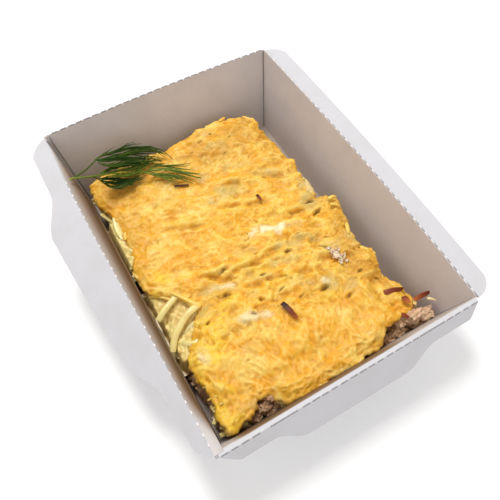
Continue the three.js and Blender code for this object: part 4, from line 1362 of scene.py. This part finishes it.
def addMince():
    random = np.random.default_rng(47)
    shapes = [lumpShape(2, n, 0.85, 0.62) for n in range(8)]
    chunks = [crumblyShape(n) for n in range(4)]
    columns, rows = mince["columns"], mince["rows"]
    bx, by, outX, outY = slabBorder(columns, rows, 0.8)
    # the meat lies bare where the crust is bitten back, and reaches further right at the front
    onFront = ramp(by, -56, -66)
    bx = bx + 5.4 * onFront * (bx > 30)
    leftY = by[2 * columns + rows:]
    bx[2 * columns + rows:] -= 0.95 * (slabEdges["left"](leftY) - slab["left"])
    bx[2 * columns + rows:] -= 1.4 * ramp(leftY, -20, -40)
    by = by - 0.85 * frontNotch(bx) * onFront
    body = Gathered()

    def pushAt(n, offset, here):
        return offset + 0.9 * softNoise(here, 3.2, 84, 3) * (n > 0) - 0.3

    addLayer(body, (bx, by, outX, outY), mince["rings"], pushAt, 0.8)

    def addLump(x, y, z, size, shade):
        shape, shapeFaces = shapes[random.integers(len(shapes))]
        squash = np.array([random.uniform(0.8, 1.3), random.uniform(0.6, 1.0), random.uniform(0.6, 0.95)])
        body.add(turned(shape * squash, random) * size + (x, y, z), shapeFaces, shade=shade)

    for n in range(mince["sideLumps"]):
        k = random.integers(len(bx))
        size = random.uniform(*mince["sideSize"])
        depth = -size * random.uniform(0.5, 1.0) - 0.3
        z = random.uniform(*mince["sideHeight"])
        x, y = bx[k] + outX[k] * depth, by[k] + outY[k] * depth
        addLump(x, float(leaned(x, y, z)), z, size, random.uniform(0, 1))
    for n, ((cx, cy, cz), size, shade) in enumerate(mince["chunks"]):
        shape, shapeFaces, recessShade = chunks[n % len(chunks)]
        spin = np.array(Matrix.Rotation(2.3 * n, 3, "Z"))
        points = shape @ spin.T * size + (cx, cy, cz)
        body.add(points, shapeFaces, shade=shade + 0.5 * recessShade)
    (right, rightSlope), (front, frontSlope) = mince["heapLimits"]
    for (mx, my), (halfX, halfY), top, fall, count, size in mince["heaps"]:
        for n in range(count):
            spin, far = random.uniform(0, math.tau), math.sqrt(random.uniform(0, 1))
            x, y = mx + halfX * far * math.cos(spin), my + halfY * far * math.sin(spin)
            z = -2.5 + top - fall * (my + halfY - y) - 2.5 * far ** 4 - random.uniform(0, 2.6) ** 1.3
            grown = size * (random.uniform(0.35, 0.75) if n % 3 else random.uniform(0.8, 1.15))
            x = min(x, right - grown + rightSlope * z)
            y = max(y, front + frontSlope * z + 0.8 * grown)
            addLump(x, y, z, grown, random.uniform(0, 1))
    body.points = [keptInTray(np.concatenate(body.points))]
    thing = body.build("minced_meat", minceMaterial(), sharpAngle=180)
    standFor(thing, "meat_layer")


def minceMaterial():
    finish = Finish("minced meat", Roughness=0.48, Subsurface_Weight=0.15, Subsurface_Scale=0.001,
                    Subsurface_Radius=(1.0, 0.5, 0.3))
    finish.paint((232, 200, 166), [
        # the shade mask holds each lump's own tone, and painted shade in clefts, low down and at the front
        # left
        ("shade", 0.2, 0.8, 0.8, (218, 172, 130)),
        ("shade", 0.8, 1.4, 0.8, (124, 84, 56)),
        (380, 0.46, 0.64, 0.75, (180, 126, 84)),
        (160, 0.54, 0.7, 0.6, (226, 188, 136)),
        (700, 0.54, 0.7, 0.7, (240, 214, 182)),
    ])
    finish.grain(Scale=1100.0, Coarse_Scale=380.0, Strength=0.6, Coarse_Strength=0.7, Distance=0.0006)
    return finish.material


# Crisp shreds of cheese on the crust

crisp = {
    "steps": 13, "sides": 8, "halfHeight": 0.3,
    # from, to, lift over the crust at both ends, arch, half width, and how burnt each end is:
    # -1 is pale, and 1 or more black
    "shreds": [
        ((-18.8, 44.8), (-11.3, 41.8), (0.9, 0.9), 0.1, 0.6, (1.15, 1.0)),
        ((17.0, 17.9), (17.8, 13.4), (0.9, 1.2), 0.3, 0.8, (1.0, 0.5)),
        ((-5.0, -43.4), (-2.2, -53.4), (1.6, 0.9), 0.6, 1.3, (1.15, 0.45)),
        ((41.2, -63.2), (51.2, -65.9), (1.2, 1.2), 0.5, 1.2, (0.62, 0.75)),
        ((49.0, -69.4), (48.4, -73.8), (1.0, 0.4), 0.3, 1.5, (0.75, 0.25)),
        ((51.6, -73.4), (59.4, -74.6), (1.2, 3.4), 0.8, 1.2, (0.45, 0.85)),
        ((56.8, -76.4), (59.6, -79.4), (2.6, 2.2), 0.2, 0.6, (-1, -1)),
        ((42.5, -76.0), (45.8, -78.8), (-1.6, -3.0), 0.2, 1.1, (0.6, 0.7)),
    ],
}


def addCrispShreds():
    body = Gathered()
    random = np.random.default_rng(23)
    shares = np.linspace(0, 1, crisp["steps"])
    for n, (start, end, lift, arch, wide, char) in enumerate(crisp["shreds"]):
        path = []
        for t in shares:
            x, y = mix(start[0], end[0], t), mix(start[1], end[1], t)
            z = float(crustHeight(x, y)) + mix(*lift, t) + arch * math.sin(t * math.pi)
            path.append((x + 0.2 * math.sin(4 * t + n), y, z))
        halfWidth = lambda t: wide * (1 - 0.1 * abs(2 * t - 1) ** 6 - 0.5 * max(t - 0.6, 0))
        halfHeight = lambda t: crisp["halfHeight"] - 0.08 * abs(2 * t - 1) ** 4
        points, faces = tube(path, halfWidth, halfHeight, crisp["sides"], random.normal() * 0.5, 0.5)
        body.add(roughened(points, 0.14, 1.4, 30), faces, char=mix(*char, np.repeat(shares, crisp["sides"])))
    thing = body.build("crisp_cheese_shreds", crispMaterial(), sharpAngle=50)
    standFor(thing, "cheese_crust")


def crispMaterial():
    finish = Finish("crisp burnt cheese", Roughness=0.5, Specular_IOR_Level=0.3)
    finish.paint((214, 128, 48), [
        ("char", 0.0, -0.6, 1.0, (236, 212, 158)),
        ("char", 0.15, 0.65, 1.0, (134, 60, 30)),
        ("char", 0.65, 1.0, 1.0, (52, 18, 8)),
        (900, 0.5, 0.75, 0.4, (150, 66, 24)),
    ])
    finish.grain(Scale=1300.0, Coarse_Scale=500.0, Strength=0.2, Coarse_Strength=0.4, Distance=0.0003)
    return finish.material


# Half melted shreds along the crust's edge, and the threads that hang from it

fringe = {
    "count": 34, "length": (3.5, 8), "halfWidth": (0.8, 1.3), "height": (22.5, 26.0), "across": (-60.4, 60),
    # pointed ends that stick out: half width, points along
    "ends": [
        (1.3, [(-49.5, -66.6, 25.6), (-53.0, -65.8, 25.2), (-57.0, -65.0, 23.0)]),
        (1.1, [(-49.8, -62.6, 25.8), (-52.9, -61.0, 25.2), (-56.2, -58.8, 23.4)]),
        (1.0, [(-50.2, -70.0, 25.2), (-53.0, -69.6, 24.6), (-56.6, -69.4, 22.6)]),
        (1.4, [(-39.0, -24.4, 25.2), (-41.8, -20.0, 26.2), (-45.8, -13.8, 26.2), (-50.2, -7.6, 25.2)]),
        (0.9, [(-41.6, -24.2, 24.6), (-43.6, -18.0, 25.8), (-47.2, -11.5, 25.8)]),
        (0.9, [(-49.6, -12.4, 23.4), (-53.6, -8.6, 23.8), (-58.0, -5.6, 22.4)]),
        (1.0, [(49.5, -3.4, 27.4), (52.2, -3.6, 28.0), (54.2, -4.4, 27.0)]),
        (0.9, [(48.5, -6.4, 27.0), (51.6, -8.2, 26.6), (53.4, -9.6, 25.2)]),
        (0.9, [(46.0, -41.0, 26.2), (49.4, -42.6, 25.6), (51.2, -45.0, 24.2)]),
        (0.8, [(-21.0, -82.6, 24.6), (-23.6, -84.0, 23.0), (-26.2, -84.2, 21.4)]),
        (0.9, [(24.6, -77.4, 25.6), (24.6, -80.6, 24.8), (24.4, -82.0, 20.8), (24.1, -82.9, 15.8)]),
        (0.7, [(19.8, -80.0, 24.8), (21.2, -82.2, 23.0), (21.6, -83.0, 19.8)]),
        (0.8, [(28.2, -76.4, 24.8), (27.8, -79.4, 23.6), (27.2, -81.2, 21.4)]),
        (1.5, [(-52.2, -79.0, 23.2), (-52.8, -80.4, 20.0), (-53.4, -81.8, 16.0), (-54.0, -82.6, 12.6)]),
    ],
}


def addFringe():
    body = Gathered()
    random = np.random.default_rng(57)
    bx, by, outX, outY = slabBorder(slab["columns"], slab["rows"], 1.0)
    inset = crustInset(bx, by)
    for n in range(fringe["count"]):
        k = random.integers(len(bx))
        length = random.uniform(*fringe["length"])
        width = random.uniform(*fringe["halfWidth"])
        offset = 0.7 + 0.4 * random.normal() - inset[k]
        z = random.uniform(*fringe["height"])
        start = np.array([bx[k] + outX[k] * offset, by[k] + outY[k] * offset, z])
        turn = random.choice((-1, 1)) * random.uniform(1.0, 1.5)
        side, ahead = math.cos(turn), math.sin(turn)
        heading = np.array([outX[k] * side - outY[k] * ahead, outY[k] * side + outX[k] * ahead,
                            0.15 * random.normal() - 0.15])
        curl = random.normal() * 0.1 * np.array([outX[k], outY[k], -0.8])
        path = []
        for t in np.linspace(0, 1, 7):
            x, y, z = start + heading * length * (t - 0.4) + curl * length * t * t
            path.append((float(np.clip(x, *fringe["across"])), float(leaned(x, y, z)), z))
        halfWidth = lambda t: width * math.sqrt(max(1.04 - (2 * t - 1) ** 4, 0.04))
        points, faces = tube(path, halfWidth, lambda t: 0.6 * halfWidth(t), 7)
        body.add(points, faces, shade=random.uniform(0, 1))
    for width, path in fringe["ends"]:
        points, faces = tube(smoothPath(path, 12), lambda t: width * (1.05 - 0.75 * t ** 1.6),
                             lambda t: 0.75 * width * (1.05 - 0.7 * t ** 1.6), 8)
        body.add(roughened(points, 0.18, 2.0, 50), faces, shade=random.uniform(0, 0.4))
    body.points = [keptInTray(np.concatenate(body.points))]
    thing = body.build("cheese_fringe", fringeMaterial(), sharpAngle=180)
    standFor(thing, "cheese_crust")


def fringeMaterial():
    finish = Finish("cheese ends", Roughness=0.45, Subsurface_Weight=0.3, Subsurface_Scale=0.0015,
                    Subsurface_Radius=(1.0, 0.7, 0.3))
    finish.paint((252, 208, 96), [
        ("shade", 0.2, 1.0, 0.9, (244, 180, 58)),
        (300, 0.45, 0.7, 0.5, (248, 220, 144)),
    ])
    finish.grain(Scale=1500.0, Coarse_Scale=420.0, Strength=0.3, Coarse_Strength=0.3, Distance=0.0003)
    return finish.material


# A fluffy crumb of meat on the crust

crumb = {
    "middle": (33.2, -34.0),
    # its arms: end, and how many lumps along
    "arms": [((31.2, -28.9), 22), ((32.3, -40.2), 16), ((35.6, -40.2), 15), ((36.6, -37.2), 10),
             ((37.8, -31.4), 7)],
    # lumps around the middle
    "heart": 26,
}


def addCrumb():
    random = np.random.default_rng(71)
    shapes = [lumpShape(2, 20 + n, 0.8, 0.6) for n in range(5)]
    body = Gathered()
    x, y = crumb["middle"]

    def addLump(px, py, rise, size):
        z = float(crustHeight(px, py)) + 0.5 + rise
        shape, shapeFaces = shapes[random.integers(len(shapes))]
        squash = np.array([random.uniform(0.9, 1.5), random.uniform(0.5, 0.9), random.uniform(0.6, 1.0)])
        body.add(turned(shape * squash, random) * size + (px, py, z), shapeFaces, shade=random.uniform(0, 1))

    for n in range(crumb["heart"]):
        addLump(x + 0.8 * random.normal(), y + 1.9 * random.normal(), random.uniform(0.2, 2.4),
                random.uniform(0.8, 1.4))
    for (ex, ey), count in crumb["arms"]:
        for n in range(count):
            t = (n + 1) / count
            addLump(mix(x, ex, t) + 0.55 * random.normal(), mix(y, ey, t) + 0.55 * random.normal(),
                    random.uniform(0.2, 2.2) * (1 - 0.5 * t), random.uniform(0.5, 1.0) * (1 - 0.3 * t))
    thing = body.build("fluffy_meat_crumb", crumbMaterial(), sharpAngle=180)
    standFor(thing, "meat_crumb")


def crumbMaterial():
    finish = Finish("fluffy meat crumb", Roughness=0.6, Subsurface_Weight=0.2, Subsurface_Scale=0.001)
    finish.paint((244, 224, 194), [
        ("shade", 0.2, 1.0, 0.8, (226, 190, 146)),
        (900, 0.52, 0.7, 0.7, (190, 138, 92)),
    ])
    finish.grain(Scale=1600.0, Coarse_Scale=600.0, Strength=0.4, Coarse_Strength=0.5, Distance=0.0003)
    return finish.material


# Dill

dill = {
    # how far it stays above the crust, how far right it may reach, how many steps a bundle's path has,
    # and how thick a thread is
    "clearance": 0.8, "rightEnd": -0.4, "steps": 60, "thick": (0.2, 0.34),
    # the stems: half thickness at the root and at the tip, and points along
    "stems": [
        (0.62, 0.22, [(-66.8, 58.2, 50.7), (-64.5, 58.3, 50.4), (-60.4, 57.3, 49.4), (-54.7, 56.7, 47.5),
                     (-47.1, 57.6, 43.4), (-39.5, 58.1, 38.7), (-31.8, 57.7, 34.7), (-23.5, 57.3, 32.2),
                     (-17.5, 55.1, 30.8), (-12.5, 50.6, 30.2), (-8.4, 46, 30.1), (-4, 41.2, 29.9)]),
        (0.5, 0.2, [(-63.5, 58.9, 50.2), (-58.2, 61, 49.2), (-53.2, 64.3, 48), (-50, 66.5, 47.3),
                    (-46.5, 68.8, 45.8),
                    (-41.9, 70.1, 43.4), (-36.6, 71.9, 40.5), (-30.3, 73.8, 37.3), (-23.1, 73.1, 34.1),
                    (-17.3, 70.5, 32.2), (-14.1, 67.7, 31.3), (-12.5, 63.5, 30.7), (-12, 60.4, 30.5)]),
        (0.5, 0.2, [(-61.1, 57.9, 49.2), (-56.1, 58, 46.3), (-53.7, 58.5, 42.4), (-51.6, 58.6, 36.9),
                    (-49.3, 58, 33.5), (-46, 56.4, 32.2), (-42.1, 55.7, 31.7), (-37.6, 56, 31.2),
                    (-31.4, 56.2, 30.6)]),
    ],
    # the bundles of threads: how many, how far they spread, how light they are, and points along
    "bundles": [
        (24, 1.6, 0.0, [(-51, 66, 47.5), (-46.5, 68.8, 45.8), (-41.9, 70.1, 43.4), (-36.6, 71.9, 40.5),
                        (-30.3, 73.8, 37.3), (-23.1, 73.1, 34.1), (-17.3, 70.5, 32.2), (-13.6, 66.5, 31)]),
        (26, 1.5, 0.1, [(-50.2, 66.1, 47.3), (-43.8, 67.3, 43.9), (-36.2, 69.3, 39.5), (-30.1, 70.6, 36.5),
                        (-22.6, 70.4, 33.5), (-16.1, 67.2, 31.6), (-13, 64.3, 30.8)]),
        (26, 1.5, 0.0, [(-50, 65.5, 47.1), (-45.3, 65.4, 44.3), (-40.4, 66.5, 41.5), (-35.7, 66.9, 38.7),
                        (-31.6, 67.2, 36.5), (-23.1, 65.7, 32.9), (-17.9, 61.7, 31.4)]),
        (24, 1.6, 0.05, [(-50, 64.6, 46.9), (-47.2, 62.7, 44.7), (-42, 62.7, 41.5), (-37, 63.9, 38.7),
                         (-32.8, 64.4, 36.5), (-26.3, 64.2, 33.8), (-20.5, 63.7, 32.2)]),
        (22, 1.4, 0.15, [(-51.2, 59.9, 43.5), (-45.6, 63.1, 39.9), (-39.5, 65.6, 35.9), (-33.6, 65.8, 33.7),
                         (-28.1, 66.7, 32.4), (-22.5, 67.5, 31.3)]),
        (22, 1.6, 0.5, [(-50.8, 59.1, 42.9), (-42.1, 62.9, 36.9), (-36.6, 62.9, 34.3), (-31.4, 63.4, 32.7),
                        (-24.2, 63.9, 31.3), (-17.2, 61.4, 30.6)]),
        (22, 1.6, 0.4, [(-49.7, 58.4, 41.7), (-43.4, 59.9, 36.9), (-38.1, 59.4, 34.3), (-32.8, 60.3, 32.7),
                        (-26.7, 62.3, 31.6), (-21.1, 62.8, 30.9)]),
        (24, 1.5, 0.05, [(-53.3, 58.8, 41.7), (-48.8, 62.3, 35.2), (-43.9, 61.4, 32.2), (-39.2, 58.4, 31.5),
                         (-34.4, 57.3, 31), (-31.4, 56.4, 30.6)]),
        (22, 1.3, 0.1, [(-52.7, 58.6, 39.6), (-46.9, 60.1, 32.4), (-41.2, 57.7, 31.7), (-38.7, 55.6, 31.3),
                        (-36.2, 55.3, 31.1)]),
        (20, 1.0, 0.15, [(-51.6, 58.6, 36.9), (-49.3, 58, 33.5), (-46, 56.4, 32.2), (-42.1, 55.7, 31.7),
                         (-37.6, 56, 31.2), (-33.4, 56.2, 30.8)]),
        (11, 1.1, 0.5, [(-28.5, 57.5, 33.5), (-22.6, 59.2, 32.2), (-16.4, 57.3, 30.8), (-10.9, 53.7, 30.2),
                       (-3.6, 49, 30)]),
        (12, 1.1, 0.75, [(-30.5, 57.7, 34), (-23.5, 57.3, 32.2), (-17.5, 55.1, 30.8), (-12.5, 50.6, 30.2),
                         (-8.4, 46, 30.1), (-4, 41.2, 29.9)]),
        (12, 1.2, 0.6, [(-27.5, 56.2, 32.9), (-23.3, 54, 31.8), (-18.6, 51, 30.7), (-13.5, 46.7, 30.2),
                        (-8.7, 41.7, 30)]),
        (11, 1.1, 0.7, [(-31.8, 57.7, 34.7), (-27.5, 56.2, 32.9), (-22.6, 51.8, 31.4), (-17.3, 48.2, 30.4),
                       (-12.7, 44.6, 30.2)]),
    ],
}


def addDill():
    random = np.random.default_rng(5)
    body = Gathered()

    def lifted(path):
        path = np.array(path)
        ground = crustHeight(path[:, 0], path[:, 1]) + dill["clearance"]
        path[:, 2] = np.maximum(path[:, 2], ground)
        return path

    for n, (root, tip, points) in enumerate(dill["stems"]):
        line = lifted(smoothPath(points, 48))
        light = np.repeat(1.2 - 1.0 * np.linspace(0, 1, len(line)) ** 0.4, 7) if n == 0 else 0.25
        halfWidth = lambda t: mix(root, tip, t ** 0.6)
        body.add(*tube(line, halfWidth, halfWidth, 7), light=light)
    # each thread follows its bundle for a while and swings away from it
    steps = dill["steps"]
    t = np.linspace(0, 1, 10)[:, None]
    for count, spread, light, points in dill["bundles"]:
        line = smoothPath(points, steps)
        for n in range(int(1.35 * count)):
            start = random.uniform(0, 0.62) ** 1.1
            end = min(start + random.uniform(0.3, 0.6), 1.0)
            path = line[np.clip((np.linspace(start, end, 10) * steps).astype(int), 0, steps)]
            way = path[-1] - path[0]
            aside = np.array([-way[1], way[0], 0]) / math.hypot(way[0], way[1])
            sway = random.normal() * spread
            lift = random.normal() * 0.7 * spread + 0.4
            path = path + aside * (0.35 * random.normal() + sway * t ** 1.6) + (0, 0, 1) * (lift * t ** 1.3)
            path = smoothPath(path, 14)
            path[:, 0] = np.minimum(path[:, 0], dill["rightEnd"])
            thick = random.uniform(*dill["thick"])
            halfWidth = lambda t: thick * (1 - 0.65 * t * t)
            points, faces = tube(lifted(path), halfWidth, halfWidth, 4)
            body.add(points, faces, light=light + random.uniform(-0.25, 0.35))
    thing = body.build("dill", dillMaterial(), sharpAngle=180)
    standFor(thing, "dill_sprig")


def dillMaterial():
    finish = Finish("fresh dill", Roughness=0.45, Specular_IOR_Level=0.3)
    finish.paint((42, 76, 10), [
        ("light", 0.1, 0.9, 1.0, (124, 138, 34)),
        ("light", 0.8, 1.3, 1.0, (164, 174, 84)),
        (500, 0.45, 0.7, 0.4, (40, 62, 14)),
    ])
    finish.grain(Scale=1600.0, Coarse_Scale=700.0, Strength=0.2, Coarse_Strength=0.2, Distance=0.0002)
    return finish.material


addCamera()
addStudio()
addTray()
reliefMaps = makeReliefMaps()
addCrust(reliefMaps)
addPotato()
addMince()
addCrispShreds()
addFringe()
addCrumb()
addDill()
